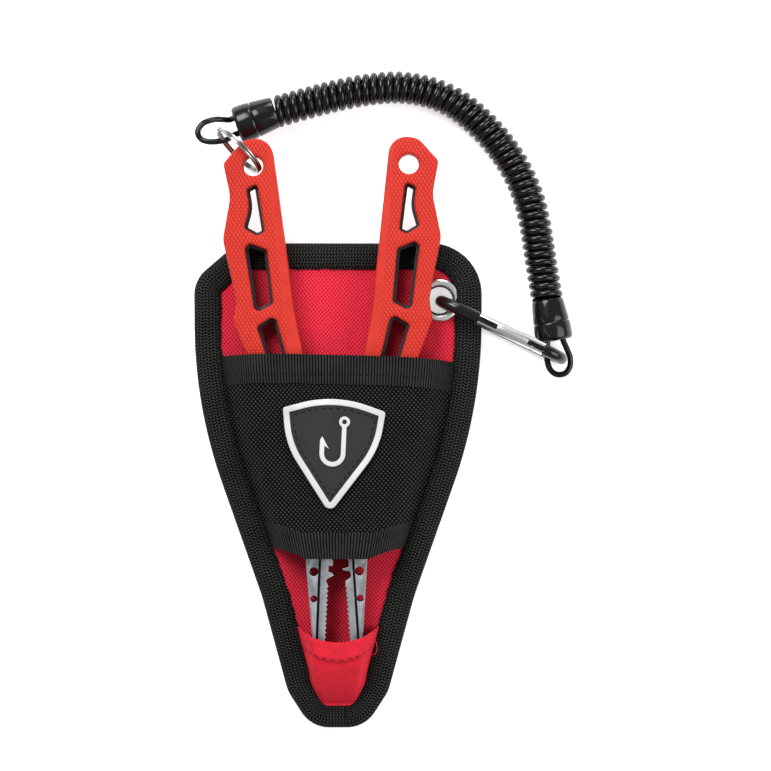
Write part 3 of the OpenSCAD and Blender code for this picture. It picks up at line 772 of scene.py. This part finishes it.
MATERIALS = {
    "nylon_black": woven("pocket_nylon", (0.0006, 0.0006, 0.0007), (0.046, 0.046, 0.048), 0.76, 0.25,
                         math.radians(3), 0.6, 1.12, 0.25, (0.18, 0.95)),
    "back_nylon": woven("back_nylon", (0.001, 0.001, 0.001), (0.030, 0.030, 0.032), 0.9, 0.16),
    "lining_red": dotted("lining_red", (0.10, 0.001, 0.006), (0.66, 0.024, 0.050), 0.68, 0.14,
                         math.radians(-3), 1.15, 0.95),
    "toe_red": dotted("toe_red", (0.22, 0.003, 0.008), (0.60, 0.019, 0.036), 0.6, 0.12,
                      math.radians(28), 1.0, 0.8),
    "binding_tape": taped("binding_tape", (0.0006, 0.0006, 0.0006), (0.044, 0.044, 0.042), 1.1, 1.25,
                          0.3, 0.6),
    "webbing": taped("belt_webbing", (0.001, 0.001, 0.001), (0.030, 0.030, 0.032), 1.5, 3.2, 0.25),
    "grosgrain": ribbed("grosgrain", (0.0008, 0.0008, 0.0008), (0.030, 0.030, 0.029), 1.05, 0.3, 0.6),
    "rubber_dark": moulded("rubber_dark", (0.018, 0.018, 0.020), 0.6, 0.5, 0.03),
    "rubber_white": moulded("rubber_white", (0.53, 0.53, 0.52), 0.5, 0.6, 0.015),
    "thread_black": moulded("thread_black", (0.003, 0.003, 0.003), 0.7, 0.3, 0.02),
    "thread_red": moulded("thread_red", (0.60, 0.015, 0.030), 0.55, 0.3, 0.02),
    # Painted shade: a dark thread for the toe seam, standing in for the shade in the hem's crease
    "thread_painted_shade": moulded("thread_painted_shade", (0.12, 0.002, 0.006), 0.6, 0.3, 0.02),
    "cord_black": moulded("cord_gloss", (0.0025, 0.0025, 0.003), 0.16, 1.2, 0.006, 0.0, 0.04),
    "cap_black": moulded("cap_gloss", (0.003, 0.003, 0.0035), 0.18, 2.0, 0.02, 0.0, 0.05),
    "clip_black": moulded("clip_gloss", (0.0025, 0.0025, 0.003), 0.16, 1.0, 0.01, 0.1, 0.05),
    "floor": moulded("floor_pale", (0.93, 0.93, 0.93), 0.9, 30, 0.0),
    "foam": moulded("foam_grey", (0.18, 0.18, 0.19), 0.85, 0.3, 0.1),
    "eyelet_metal": metal("eyelet_metal", (0.93, 0.91, 0.88), 0.26, 1.5, 0.001, 0.03),
    "ring_steel": metal("ring_steel", (0.36, 0.345, 0.33), 0.2, 0.8, 0.003, 0.05),
    "gate_alu": metal("gate_alu", (0.76, 0.77, 0.78), 0.3, 0.5, 0.002, 0.04),
    "dark_steel": metal("dark_steel", (0.06, 0.06, 0.065), 0.4, 0.4, 0.01),
    "cutter_steel": metal("cutter_steel", (0.45, 0.46, 0.48), 0.3, 0.4, 0.01),
    "washer_brass": metal("washer_brass", (0.70, 0.55, 0.28), 0.35, 0.5, 0.01),
    "jaw_steel": jaw_material("jaw_steel"),
    "grip_right": grip_material("grip_right_red", 1),
    "grip_left": grip_material("grip_left_red", -1),
}


# ---- Camera, lights and floor ----

def camera():
    data = bpy.data.cameras.new("camera")
    data.lens = 142.6
    data.sensor_width = 36
    data.clip_start, data.clip_end = 0.05, 20
    scene.camera = add("camera", data)
    scene.camera.location = (0.0171, 0.0173, 1.11)


def area_light(name, at, target, size, power):
    data = bpy.data.lights.new(name, "AREA")
    data.shape = "SQUARE"
    data.size = size
    data.energy = power
    obj = add(name, data)
    obj.location = at
    obj.rotation_euler = (Vector(target) - Vector(at)).to_track_quat("-Z", "Y").to_euler()


def studio():
    world = bpy.data.worlds.new("studio")
    world.use_nodes = True
    background = world.node_tree.nodes["Background"]
    background.inputs["Color"].default_value = (1, 1, 1, 1)
    background.inputs["Strength"].default_value = 0.42
    scene.world = world
    scene.view_settings.view_transform = "Standard"
    area_light("key", (-0.35, 0.55, 0.75), (0, 0, 0), 0.5, 9.5)
    area_light("fill", (0.65, -0.1, 0.6), (0, 0, 0), 0.6, 5.0)
    area_light("strip", (0.1, 0.9, 0.35), (0, 0.05, 0), 0.35, 3.5)
    mesh = bpy.data.meshes.new("floor")
    reach = 1.5
    mesh.from_pydata([(-reach, -reach, 0), (reach, -reach, 0), (reach, reach, 0), (-reach, reach, 0)],
                     [], [(0, 1, 2, 3)])
    floor = add("floor", mesh)
    floor.location.z = -0.0001
    shader = MATERIALS["floor"].node_tree.nodes["Principled BSDF"]
    shader.inputs["Emission Color"].default_value = (1, 1, 1, 1)
    shader.inputs["Emission Strength"].default_value = 0.5
    paint(floor, "floor")


# ---- Lanyard ----

def level_spot(at, turn, z):
    """A spot whose own Z axis points along turn, level with the floor."""
    return (Matrix.Translation(Vector((at[0], at[1], z)))
            @ Matrix.Rotation(math.radians(turn), 4, "Z") @ Matrix.Rotation(math.radians(90), 4, "Y"))


def coil_rings():
    """The middle line of the coiled cord: a helix with slightly uneven turns round its route."""
    step = COIL_PITCH / 22
    line = catmull([(x, y, COIL_D / 2 + 0.05) for x, y in COIL_ROUTE], step)
    radius = (COIL_D - COIL_WIRE_D) / 2
    rings = []
    for i, (p, run) in enumerate(zip(line, runs_along(line))):
        turn = 2 * math.pi * run / COIL_PITCH + 0.35 * math.sin(run / 7) + 0.2 * math.sin(run / 2.9)
        rings.append(p + radius * turned(turn, tangent(line, i).cross(UP), UP))
    return rings


def declare_cord(obj, path, exit_at, diameter, lay, **others):
    """Works out in metres the exit point, length and points of a cord along path, whose points are in
    millimetres, and keeps none of them.
    """
    exit_at * MM
    runs_along(path)[-1] * MM
    [p * MM for p in path]


def coil():
    """The coil in two pieces: a long one, and a short one at the carabiner's end."""
    rings = coil_rings()
    split = next(i for i, p in enumerate(rings) if p.x > 60 and p.y < COIL_SPLIT.y)
    for name, path, exit_at, bodies, start, end, pieces in (
        ("coil_long", rings[:split + 1], rings[0], ("sheath", "left_half"), COIL_SPLIT, COIL_FREE,
         ["pliers_cap", "pliers_plug"]),
        ("coil_short", rings[split:], rings[-1], ("carabiner", "sheath"), COIL_FIXED, COIL_SPLIT,
         ["clip_cap", "clip_plug"]),
    ):
        piece = tube(name, path, COIL_WIRE_D / 2, 10)
        paint(piece, "cord_black")
        if name == "coil_long":
            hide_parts("coil_cord")
        start * MM
        end * MM
        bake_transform(piece)
        declare_cord(piece, path, exit_at, COIL_WIRE_D, "coiled", with_pieces=pieces)


def cap(prefix, at, turn, body, nodes):
    """A bell over the coil's end and the plug that holds the loop, with a moulded seam."""
    seam = CAP_LEN * 0.55
    face = CAP_FACE_D / 2

    def r_at(h):
        return CAP_NECK_D / 2 + (CAP_FACE_D - CAP_NECK_D) / 2 * min(1, h / 10)

    middle = r_at(seam)
    bell = [(0.01, 0.9), (4.6, 0.9), (4.9, 0.15), (5.1, 0.05), (5.45, 0.2), (r_at(0) - 0.05, 0.6),
            (r_at(1), 1.2), (r_at(3), 3), (r_at(6), 6), (middle - 0.05, seam - 0.5),
            (middle - 0.25, seam - 0.06), (middle - 0.9, seam), (0.01, seam)]
    plug = [(0.01, seam + 0.05), (middle - 0.9, seam + 0.05), (middle - 0.22, seam + 0.12),
            (middle + 0.02, seam + 0.5), (r_at(9), 9.2), (face, 10.5), (face, CAP_LEN - 1.4),
            (face - 0.25, CAP_LEN - 0.6), (face - 0.8, CAP_LEN - 0.12), (face - 1.6, CAP_LEN),
            (face - 2.2, CAP_LEN - 0.25), (0.01, CAP_LEN - 0.3)]
    spot = level_spot(at, turn, CAP_Z)
    for name, profile, node in (("_cap", bell, nodes[0]), ("_plug", plug, nodes[1])):
        place(lathe(prefix + name, profile, spot, 72), "cap_black", body, "cap_black", node)


def end_loop(name, route, turn, body, node):
    """The loop of cord, with both ends running a little way into the plug."""
    inwards = -heading(math.radians(turn)).to_3d() * LOOP_SUNK
    first, last = Vector(route[0]) + inwards, Vector(route[-1]) + inwards
    path = catmull([first, *route, last], 0.5)
    obj = tube(name, path, LOOP_D / 2, 14)
    place(obj, "cord_black", body, "cord_black", node)
    declare_cord(obj, path, path[0], LOOP_D, "loose")


def split_ring():
    """Two flat turns of wire side by side, crossing over once."""
    mean = RING_D / 2 - 0.6
    along = heading(RING_TURN).to_3d()
    up = turned(RING_TILT, UP, Vector((-along.y, along.x, 0)))
    normal = along.cross(up)
    steps, sides = 200, 10
    points = []
    for i in range(steps + 1):
        share = i / steps
        a = math.radians(150) + 4 * math.pi * share * 0.985
        turn = max(-1, min(1, (share - 0.5) / 0.045))
        shift = 0.5 * math.sin(turn * math.pi / 2)
        out = turned(a, along, up)
        taper = min(1.0, 0.55 + 12 * min(share, 1 - share))
        for k in range(sides):
            b = 2 * math.pi * (k + 0.5) / sides
            r = 0.58 * math.copysign(abs(math.cos(b)) ** 0.6, math.cos(b)) * taper
            w = 0.47 * math.copysign(abs(math.sin(b)) ** 0.6, math.sin(b))
            points.append(RING_AT + out * (mean + r) + normal * (shift + w))
    obj = new_solid("ring_of_wire", points, tube_faces(steps + 1, sides), None, 50)
    place(obj, "ring_steel", "split_ring", "ring_steel", "split_ring")


def clip_point(s, z):
    """A point of the carabiner's own upright plane, s along it and z above the floor."""
    return CLIP_AT + Vector((math.cos(CLIP_TURN) * s, math.sin(CLIP_TURN) * s, z))


def arc_run(s, z, r, start):
    """A quarter of a circle round s and z, which begins at the angle start."""
    steps = 14
    return [(s + r * math.cos(math.radians(start + 90 * i / steps)),
             z + r * math.sin(math.radians(start + 90 * i / steps))) for i in range(steps + 1)]


def carabiner():
    far = CLIP_RUN - CLIP_FAR_R
    tail_s = PIN_S + GATE_TAIL + 0.3
    line = [(NOSE_S, CLIP_HIGH_Z), (NOSE_S - 0.3, CLIP_HIGH_Z), (NOSE_S - 2, CLIP_HIGH_Z),
            (NOSE_S - 4.5, CLIP_HIGH_Z)]
    line += arc_run(CLIP_NEAR_R, CLIP_HIGH_Z - CLIP_NEAR_R, CLIP_NEAR_R, 90)
    line += arc_run(CLIP_NEAR_R, CLIP_LOW_Z + CLIP_NEAR_R, CLIP_NEAR_R, 180)
    line += [(15 + k * 5, CLIP_LOW_Z) for k in range(5)]
    line += arc_run(far, CLIP_LOW_Z + CLIP_FAR_R, CLIP_FAR_R, 270)
    line += arc_run(far, CLIP_HIGH_Z - CLIP_FAR_R, CLIP_FAR_R, 0)
    line += [(tail_s + 0.4, CLIP_HIGH_Z), (tail_s, CLIP_HIGH_Z)]
    path = [clip_point(s, z) for s, z in line]

    def radius(share):
        nose = max(0.0, 1 - share / 0.09)
        return CLIP_R + 0.1 * min(1, nose * 2) - (0.5 if share in (0.0, 1.0) else 0.0)

    parts = [tube("clip_rod", path, radius, 20)]
    across = Vector((math.sin(CLIP_TURN), -math.cos(CLIP_TURN), 0))
    for s0, s1, height in ((NOSE_S - 0.6, NOSE_S + 7.0, 1.3), (PIN_S - 1.8, tail_s + 0.6, 1.5)):
        corners = [(s0, -height), (s1, -height), (s1, height), (s0, height)]
        points = [clip_point(s, CLIP_HIGH_Z + z) + across * w * 0.75 for w in (-1, 1) for s, z in corners]
        faces = [(0, 1, 2, 3), (7, 6, 5, 4), (0, 4, 5, 1), (1, 5, 6, 2), (2, 6, 7, 3), (3, 7, 4, 0)]
        tongue = new_object("tongue", points, faces)
        with editing(tongue.data) as bm:
            bmesh.ops.recalc_face_normals(bm, faces=bm.faces)
            bevelled(bm, bm.edges[:], 0.3, 3)
        parts.append(tongue)
    place(join("clip_body", parts), "clip_black", "carabiner", "clip_black", "carabiner_body")
    place(refined("carabiner_gate", "clip_gate", 0.22, 3), "gate_alu", "gate", "gate_alu")
    place(refined("gate_pin", "clip_pin", 0.15), "ring_steel", "gate", "ring_steel")


# ---- Pliers ----

def turned_spot(at, turn):
    """A spot in metres at a point of the XY plane, turned round Z."""
    return Matrix.Translation((at.x * MM, at.y * MM, 0)) @ Matrix.Rotation(turn, 4, "Z")


def grip(side, name, body, node):
    """A handle's grip, drawn as the right-hand one and mirrored for the left one, whose side is -1."""
    hole = [HANDLE_HOLE + HANDLE_HOLE_R * heading(2 * math.pi * k / 40) for k in range(40)]
    holes = [rounded(s, 6) for s in GRIP_SLOTS] + [hole]
    spot = turned_spot(PIVOT, LEAN) @ Matrix.Diagonal((side, 1, 1, 1))
    obj = plate(name, rounded(GRIP_OUTLINE, 12), holes, *GRIP_Z, 0.9, spot, 4)
    place(obj, name, body, "grip_red", node)


def pliers():
    grip(1, "grip_right", "right_half", "right_handle_grip")
    grip(-1, "grip_left", "left_half", "left_handle_grip")
    # The halves cross at the pivot, so the jaw on the left belongs to the right half
    for node, name, body, bevel in (
        ("left_handle_frame", "frame_left", "left_half", 0.36),
        ("right_handle_frame", "frame_right", "right_half", 0.36),
        ("left_jaw_insert", "jaw_left", "right_half", 0.32),
        ("right_jaw_insert", "jaw_right", "left_half", 0.32),
    ):
        place(refined(node, name, bevel), "jaw_steel", body, "jaw_steel")


# ---- Sheath ----

def edge_noise(x, y, scale, seed=0.0):
    """Smooth noise from -1 to 1 with features about scale across."""
    return noise.noise(Vector((x / scale, y / scale, seed)))


def tape_gain(y):
    """How much narrower than elsewhere the edge tape is at the top and at the toe."""
    return 0.5 * smooth_step(y, 50, 66) + 1.3 * smooth_step(-y, 84, 96)


def binding():
    """Tape folded round the edge, a little puffed, with an uneven inner edge."""
    profile = [(9.9, FRONT_Z + 0.05), (9.8, FRONT_Z + 0.6), (9.3, FRONT_Z + 0.95),
               (7.8, FRONT_Z + 1.15), (5.6, FRONT_Z + 1.45), (3.4, FRONT_Z + 1.35),
               (1.8, FRONT_Z + 0.85), (0.65, FRONT_Z - 0.1), (0.08, FRONT_Z - 1.1),
               (0.08, BACK_Z + 1.1), (0.55, BACK_Z + 0.1), (1.6, BACK_Z - 0.6),
               (3.5, BACK_Z - 0.85), (8, BACK_Z - 0.8), (9.6, BACK_Z - 0.5), (9.9, BACK_Z - 0.05)]
    front = 5  # the profile's highest point on the front
    outer = refine(rounded(OUTLINE, 16), 0.9)
    rows = [moved_in(outer, d) for d, _ in profile]
    lines = []
    for i, rim in enumerate(outer):
        line = []
        for j, (d, z) in enumerate(profile):
            p = rows[j][i]
            out = (rim - p).normalized() if d > 0.1 else Vector((0, 0))
            share = smooth_step(d, 4, 9) if j < front else 0.0
            wobble = share * (tape_gain(p.y) + 0.5 * edge_noise(p.x, p.y, 3.1))
            puff = 0.3 * edge_noise(p.x, p.y, 9, 3.0) + 0.12 * edge_noise(p.x, p.y, 2.6, 5.0)
            near = max(0.0, 1 - abs(d - 5) / 6) if j <= front + 1 else 0.0
            q = p + out * wobble
            line.append(Vector((q.x, q.y, z + puff * near)))
        lines.append(line)
    points = [p for line in lines for p in line]
    across = runs_along([Vector(p) for p in profile])
    uvs = [(run, a) for run in runs_along([line[front] for line in lines]) for a in across]
    obj = new_solid("binding", points, ring_faces(len(lines), len(profile)), uvs, 70)
    place(obj, "binding_tape", "sheath", "binding_tape", "edge_binding")
    for name, z in (("binding_thread", FRONT_Z + 1.08), ("binding_thread_back", BACK_Z - 0.85)):
        path = []
        for rim, p in zip(outer, moved_in(outer, 8.5)):
            q = p + (rim - p).normalized() * tape_gain(p.y)
            path.append(Vector((q.x, q.y, z)))
        path.append(path[0])
        place(stitches(name, path, 2.3, 0.9, 0.2), "thread_black", "sheath", "binding_tape")


def eyelet_hole(x, y):
    """Whether the panels are cut away at this place, for the eyelet."""
    return (Vector((x, y)) - EYELET_AT).length < EYELET_HOLE_R + 0.9


def panel_at(inset_mm, z, amplitude, seed):
    """A point of a flat panel inside the outline moved inwards, with soft unevenness."""
    low = SHEATH_LOW_Y + inset_mm + 0.15
    high = SHEATH_TOP_Y - inset_mm - 0.05

    def at(u, v):
        y = low + (high - low) * v
        x = (2 * u - 1) * edge_x(y, inset_mm, 1 if u > 0.5 else -1)
        return x, y, z + amplitude * edge_noise(x, y, 17, seed)

    return at


def panels():
    """The red front and the black back of the padded panel, round its foam core."""
    lining = grid_sheet("lining_cloth", panel_at(2.0, FRONT_Z - 0.12, 0.12, 2.0), 90, 150, 0.55,
                        hole=eyelet_hole)
    place(lining, "lining_red", "sheath", "lining_red", "lining")
    back = grid_sheet("back_cloth", panel_at(2.0, BACK_Z + 0.75, 0.0, 4.0), 70, 120, 0.7,
                      hole=eyelet_hole)
    place(back, "back_nylon", "sheath", "nylon_black", "back_shell")


# A place across the pocket is u: -1 and 1 are the seams, and the cloth runs in under the tape past
# them, this much wider
FLANGE = 1.035
SEAM_INSET = 9.3


def bulge(u):
    """How far the pocket stands up at u: all the way over the pliers, and down to 0 at the seam."""
    return 1.0 if u < 0.64 else 1 - ((min(u, 1) - 0.64) / 0.36) ** 2.2


def mouth_y(u):
    """Height of the pocket's mouth, crowned in the middle."""
    return 26.6 - 1.02 * u + 1.6 * (1 - u ** 4)


def pocket_low_y(u):
    """Height of the pocket's lower edge, which rises towards both seams."""
    return -44.4 + 3.4 * (1 - (1 - max(0, 2 * min(1, abs(u)) - 1)) ** 2)


def spread(u):
    """Columns closer together towards the sides."""
    return math.copysign(1 - (1 - abs(u)) ** 1.35, u) * FLANGE


def side_of(u):
    return 1 if u > 0 else -1


def under_tape(u, up):
    """Height of the outer face at the side, where the cloth dives under the tape."""
    return 0.25 + (up - 0.25) * smooth_step(1.0 - abs(u), 0.0, 0.07)


def pocket_point(u, y, up):
    """A point of the pocket, up above the pliers it covers, with soft creases and pulled folds."""
    x = u * edge_x(y, SEAM_INSET, side_of(u))
    soft = 0.55 * edge_noise(x, y, 13, 6.0) + 0.3 * edge_noise(x, y, 5.5, 8.0)
    pull = max(0.0, abs(u) - 0.45) * max(0.0, 1 - abs(y - 6) / 40)
    tension = 1.1 * math.sin((x * 0.8 * side_of(u) + y) / 3.1) * pull
    calm = max(0.0, min(1.0, (math.hypot((x + 2) / 22, (y + 5) / 25) - 0.8) * 2.5))
    fold = soft * (0.35 + 0.65 * calm) + tension * calm
    rise = bulge(abs(u))
    return Vector((x, y, FRONT_Z + 0.02 + POCKET_H * rise + under_tape(u, up)
                   + fold * min(1.0, rise * 1.4)))


def pocket_band(name, low, high, rows, up, thickness, ripple=0.0):
    """A strip of the pocket between two heights, each a function of its place across."""
    cols = 240

    def at(u, v):
        side = spread(2 * u - 1)
        y = low(side) + (high(side) - low(side)) * v
        return pocket_point(side, y, up + ripple * math.sin(math.pi * v) ** 0.5)

    widths = runs_along([at(i / cols, 0.5) for i in range(cols + 1)])
    tall = (at(0.5, 1) - at(0.5, 0)).length
    return grid_sheet(name, at, cols, rows, thickness,
                      lambda u, v: (widths[round(u * cols)], v * tall))


def pocket():
    """The nylon pocket over the pliers, with a ribbed tape sewn along both of its open edges."""
    panel = pocket_band("pocket_cloth", lambda u: pocket_low_y(u) + 0.6, lambda u: mouth_y(u) - 0.3,
                        110, PANEL_T, 0.9)
    place(panel, "nylon_black", "sheath", "nylon_black", "pocket_panel")
    for name, node, edge, reach, seam_at, long in (
        ("mouth_tape", "pocket_top_hem", mouth_y, -10.4, -6.8, 0.092),
        ("lower_tape", "pocket_bottom_hem", pocket_low_y, 9.4, 6.4, 0.062),
    ):
        hem = pocket_band(name, lambda u: edge(u) + min(reach, 0), lambda u: edge(u) + max(reach, 0),
                          16, PANEL_T + 0.55, 0.5, 0.12)
        place(hem, "grosgrain", "sheath", "grosgrain", node)
        across = [spread(t / 60) for t in range(-57, 58)]
        path = [pocket_point(u, edge(u) + seam_at, PANEL_T + 0.72) for u in across]
        place(stitches(name + "_thread", path, 2.5, 0.8, 0.22), "thread_black", "sheath", "grosgrain")


# ---- Toe pocket ----

TOE_LOW_Y = -97.9
TOE_H = 12


def toe_mouth_y(u):
    """Height of the toe cup's mouth, lowest in the middle."""
    return -69.8 - 4.6 * (1 - min(1, u * u))


def toe_rise(y):
    """How far the toe cup stands up at height y: fully at its mouth, and not at all at the toe."""
    return 1.0 if y > -79 else math.cos(math.radians(90 * min(1, (-79 - y) / 18.2)))


def toe_point(u, y, up):
    x = u * edge_x(y, SEAM_INSET - tape_gain(y), side_of(u))
    pleat = 0.55 * math.sin((abs(x) * 1.3 - y * 0.9) / 1.7) * max(0, abs(u) - 0.3)
    soft = 0.45 * edge_noise(x, y, 6, 11.0) + 0.25 * edge_noise(x, y, 3, 13.0) + pleat
    rise = toe_rise(y) * bulge(abs(u))
    return Vector((x, y, FRONT_Z + 0.02 + TOE_H * rise + under_tape(u, up) + soft * min(1, 2 * rise)))


def toe():
    """The red cup over the jaw tips, its folded hem, its stitches and one loose thread."""
    def cup(u, v):
        side = (2 * u - 1) * FLANGE
        high = toe_mouth_y(side)
        return toe_point(side, TOE_LOW_Y + (high - TOE_LOW_Y) * v, 0.9)

    def hem(u, v):
        side = (2 * u - 1) * FLANGE
        high = toe_mouth_y(side) + 0.25
        return toe_point(side, high - 7 + 7 * v, 1.5 + 0.12 * math.sin(math.pi * v) ** 0.5)

    shell = grid_sheet("toe_cloth", cup, 60, 60, 0.7)
    place(shell, "toe_red", "sheath", "lining_red", "toe_pocket")
    band = grid_sheet("toe_hem_cloth", hem, 60, 14, 0.5)
    place(band, "toe_red", "sheath", "lining_red", "toe_pocket_hem")
    path = [toe_point(t / 40, toe_mouth_y(t / 40) - 6.2, 1.62) for t in range(-38, 39)]
    # The seam's stitches are painted dark as the shade in the hem's crease
    place(stitches("toe_thread", path, 2.2, 0.9, 0.2), "thread_painted_shade", "sheath", "lining_red")
    loose = catmull([(12.0, -73.8, 13.4), (13.0, -73.6, 13.2), (13.7, -75.2, 12.6), (14.0, -77.4, 12.2),
                     (13.4, -79.2, 12.0), (12.2, -79.4, 12.0)], 0.3)
    place(tube("loose_thread", loose, 0.16, 8), "thread_red", "sheath", "lining_red")


# ---- Badge ----

def badge():
    """A rubber pad with a raised rim and emblem, sewn on along the rim."""
    turn = turned_spot(BADGE_AT, BADGE_TURN)
    base = plate("badge_pad", rounded(inset(SHIELD, 0.4), 10), [], BADGE_Z, BADGE_Z + 1.2, 0.35, turn)
    place(base, "rubber_dark", "sheath", "rubber_dark", "badge_base")
    rim = plate("badge_rim", rounded(SHIELD, 10), [rounded(inset(SHIELD, 2.2), 10)],
                BADGE_Z + 1.1, BADGE_Z + 2.0, 0.38, turn)
    place(rim, "rubber_white", "sheath", "rubber_white", "badge_border")
    emblem = refined("badge_emblem", "badge_hook", 0.18, 3)
    place(emblem, "rubber_white", "sheath", "rubber_white")
    ring = refine(rounded(inset(SHIELD, 3.4), 10), 1.0)
    path = [(turn @ Vector((p.x * MM, p.y * MM, 0))) / MM + Vector((0, 0, BADGE_Z + 1.2)) for p in ring]
    path.append(path[0])
    place(stitches("badge_thread", path, 1.7, 0.8, 0.2), "thread_black", "sheath", "rubber_dark")


def eyelet():
    """The grommet: a rolled ring through the panel and a flat washer on the back."""
    spot = Matrix.Translation(Vector((EYELET_AT.x, EYELET_AT.y, 0)))
    r, h = EYELET_R, EYELET_HOLE_R
    roll = [(h, BACK_Z - 0.1), (h + 0.4, BACK_Z - 0.1), (h + 0.4, FRONT_Z - 0.1), (r - 0.35, FRONT_Z - 0.1),
            (r - 0.05, FRONT_Z + 0.1), (r, FRONT_Z + 0.35), (r - 0.2, FRONT_Z + 0.68),
            (r - 0.75, FRONT_Z + 0.95), (r - 1.4, FRONT_Z + 1.0), (h + 0.9, FRONT_Z + 0.85),
            (h + 0.4, FRONT_Z + 0.6), (h + 0.1, FRONT_Z + 0.2), (h, FRONT_Z - 0.3)]
    place(lathe("eyelet_ring", roll, spot, 96), "eyelet_metal", "sheath", "eyelet_metal", "eyelet")
    z = BACK_Z - 0.85
    back = [(h, z + 0.8), (h, z + 0.25), (h + 0.4, z + 0.02), (r - 1, z + 0.02), (r - 0.4, z + 0.2),
            (r - 0.3, z + 0.5), (r - 0.4, z + 0.8)]
    place(lathe("eyelet_back", back, spot, 96), "eyelet_metal", "sheath", "eyelet_metal",
          "eyelet_washer")


def belt_loop():
    """Webbing with both ends sewn flat to the back in boxes."""
    low, high = span_mm("belt_loop")
    half = (high.x - low.x) / 2
    tab_low, tab_high = low.y, high.y
    thick = 1.5
    # Height of the strap's middle by distance from either end: sewn down, then free
    tab = [(0, BACK_Z - 0.8), (6, BACK_Z - 0.8), (10.5, BACK_Z - 1.0), (13, 2.6), (16, 0.9), (22, 0.8)]
    step = 1.2
    line = catmull([(0, tab_low + run, z) for run, z in tab] + [(0, 12, 0.8)]
                   + [(0, tab_high - run, z) for run, z in tab[::-1]], step)
    rows = len(line) - 1

    def at(u, v):
        i = round(v * rows)
        t = tangent(line, i)
        up = Vector((0, -t.z, t.y))
        return Vector((half * (2 * u - 1), line[i].y, line[i].z)) + up * thick / 2

    strap = grid_sheet("belt_strap", at, 24, rows, thick,
                       lambda u, v: (v * rows * step, u * 2 * half))
    place(strap, "webbing", "sheath", "webbing", "belt_loop")
    z = BACK_Z - 1.62
    parts = []
    for y0, y1 in ((tab_low + 1.5, tab_low + 9), (tab_high - 9, tab_high - 1.5)):
        x = half - 2
        for a, b in (((-x, y0), (x, y0)), ((-x, y1), (x, y1)), ((-x, y0), (-x, y1)),
                     ((x, y0), (x, y1)), ((-x, y0), (x, y1)), ((-x, y1), (x, y0))):
            path = [Vector((*a, z)).lerp(Vector((*b, z)), t / 20) for t in range(21)]
            parts.append(stitches("strap_stitch", path, 2.4, 0.8, 0.25))
    place(join("strap_thread", parts), "thread_black", "sheath", "webbing")


def hidden_pieces():
    """CAD nodes that keep their own shape."""
    for node, material in (
        ("foam_core", "foam"),
        ("left_jaw_screws", "dark_steel"), ("right_jaw_screws", "dark_steel"),
        ("left_cutter", "cutter_steel"), ("right_cutter", "cutter_steel"),
        ("pivot_bolt", "dark_steel"), ("pivot_nut", "dark_steel"),
        ("pivot_washer", "washer_brass"), ("return_spring", "cutter_steel"),
        ("gate_spring", "cutter_steel"),
    ):
        paint(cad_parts[node], material)


camera()
studio()
cap("pliers", *CAP_1, "left_half", ("pliers_end_cap", "pliers_end_plug"))
cap("clip", *CAP_2, "carabiner", ("clip_end_cap", "clip_end_plug"))
coil()
end_loop("loop_pliers", LOOP_1_ROUTE, CAP_1[1], "left_half", "pliers_end_loop")
end_loop("loop_clip", LOOP_2_ROUTE, CAP_2[1], "carabiner", "clip_end_loop")
split_ring()
carabiner()
pliers()
panels()
binding()
pocket()
toe()
badge()
eyelet()
belt_loop()
hidden_pieces()
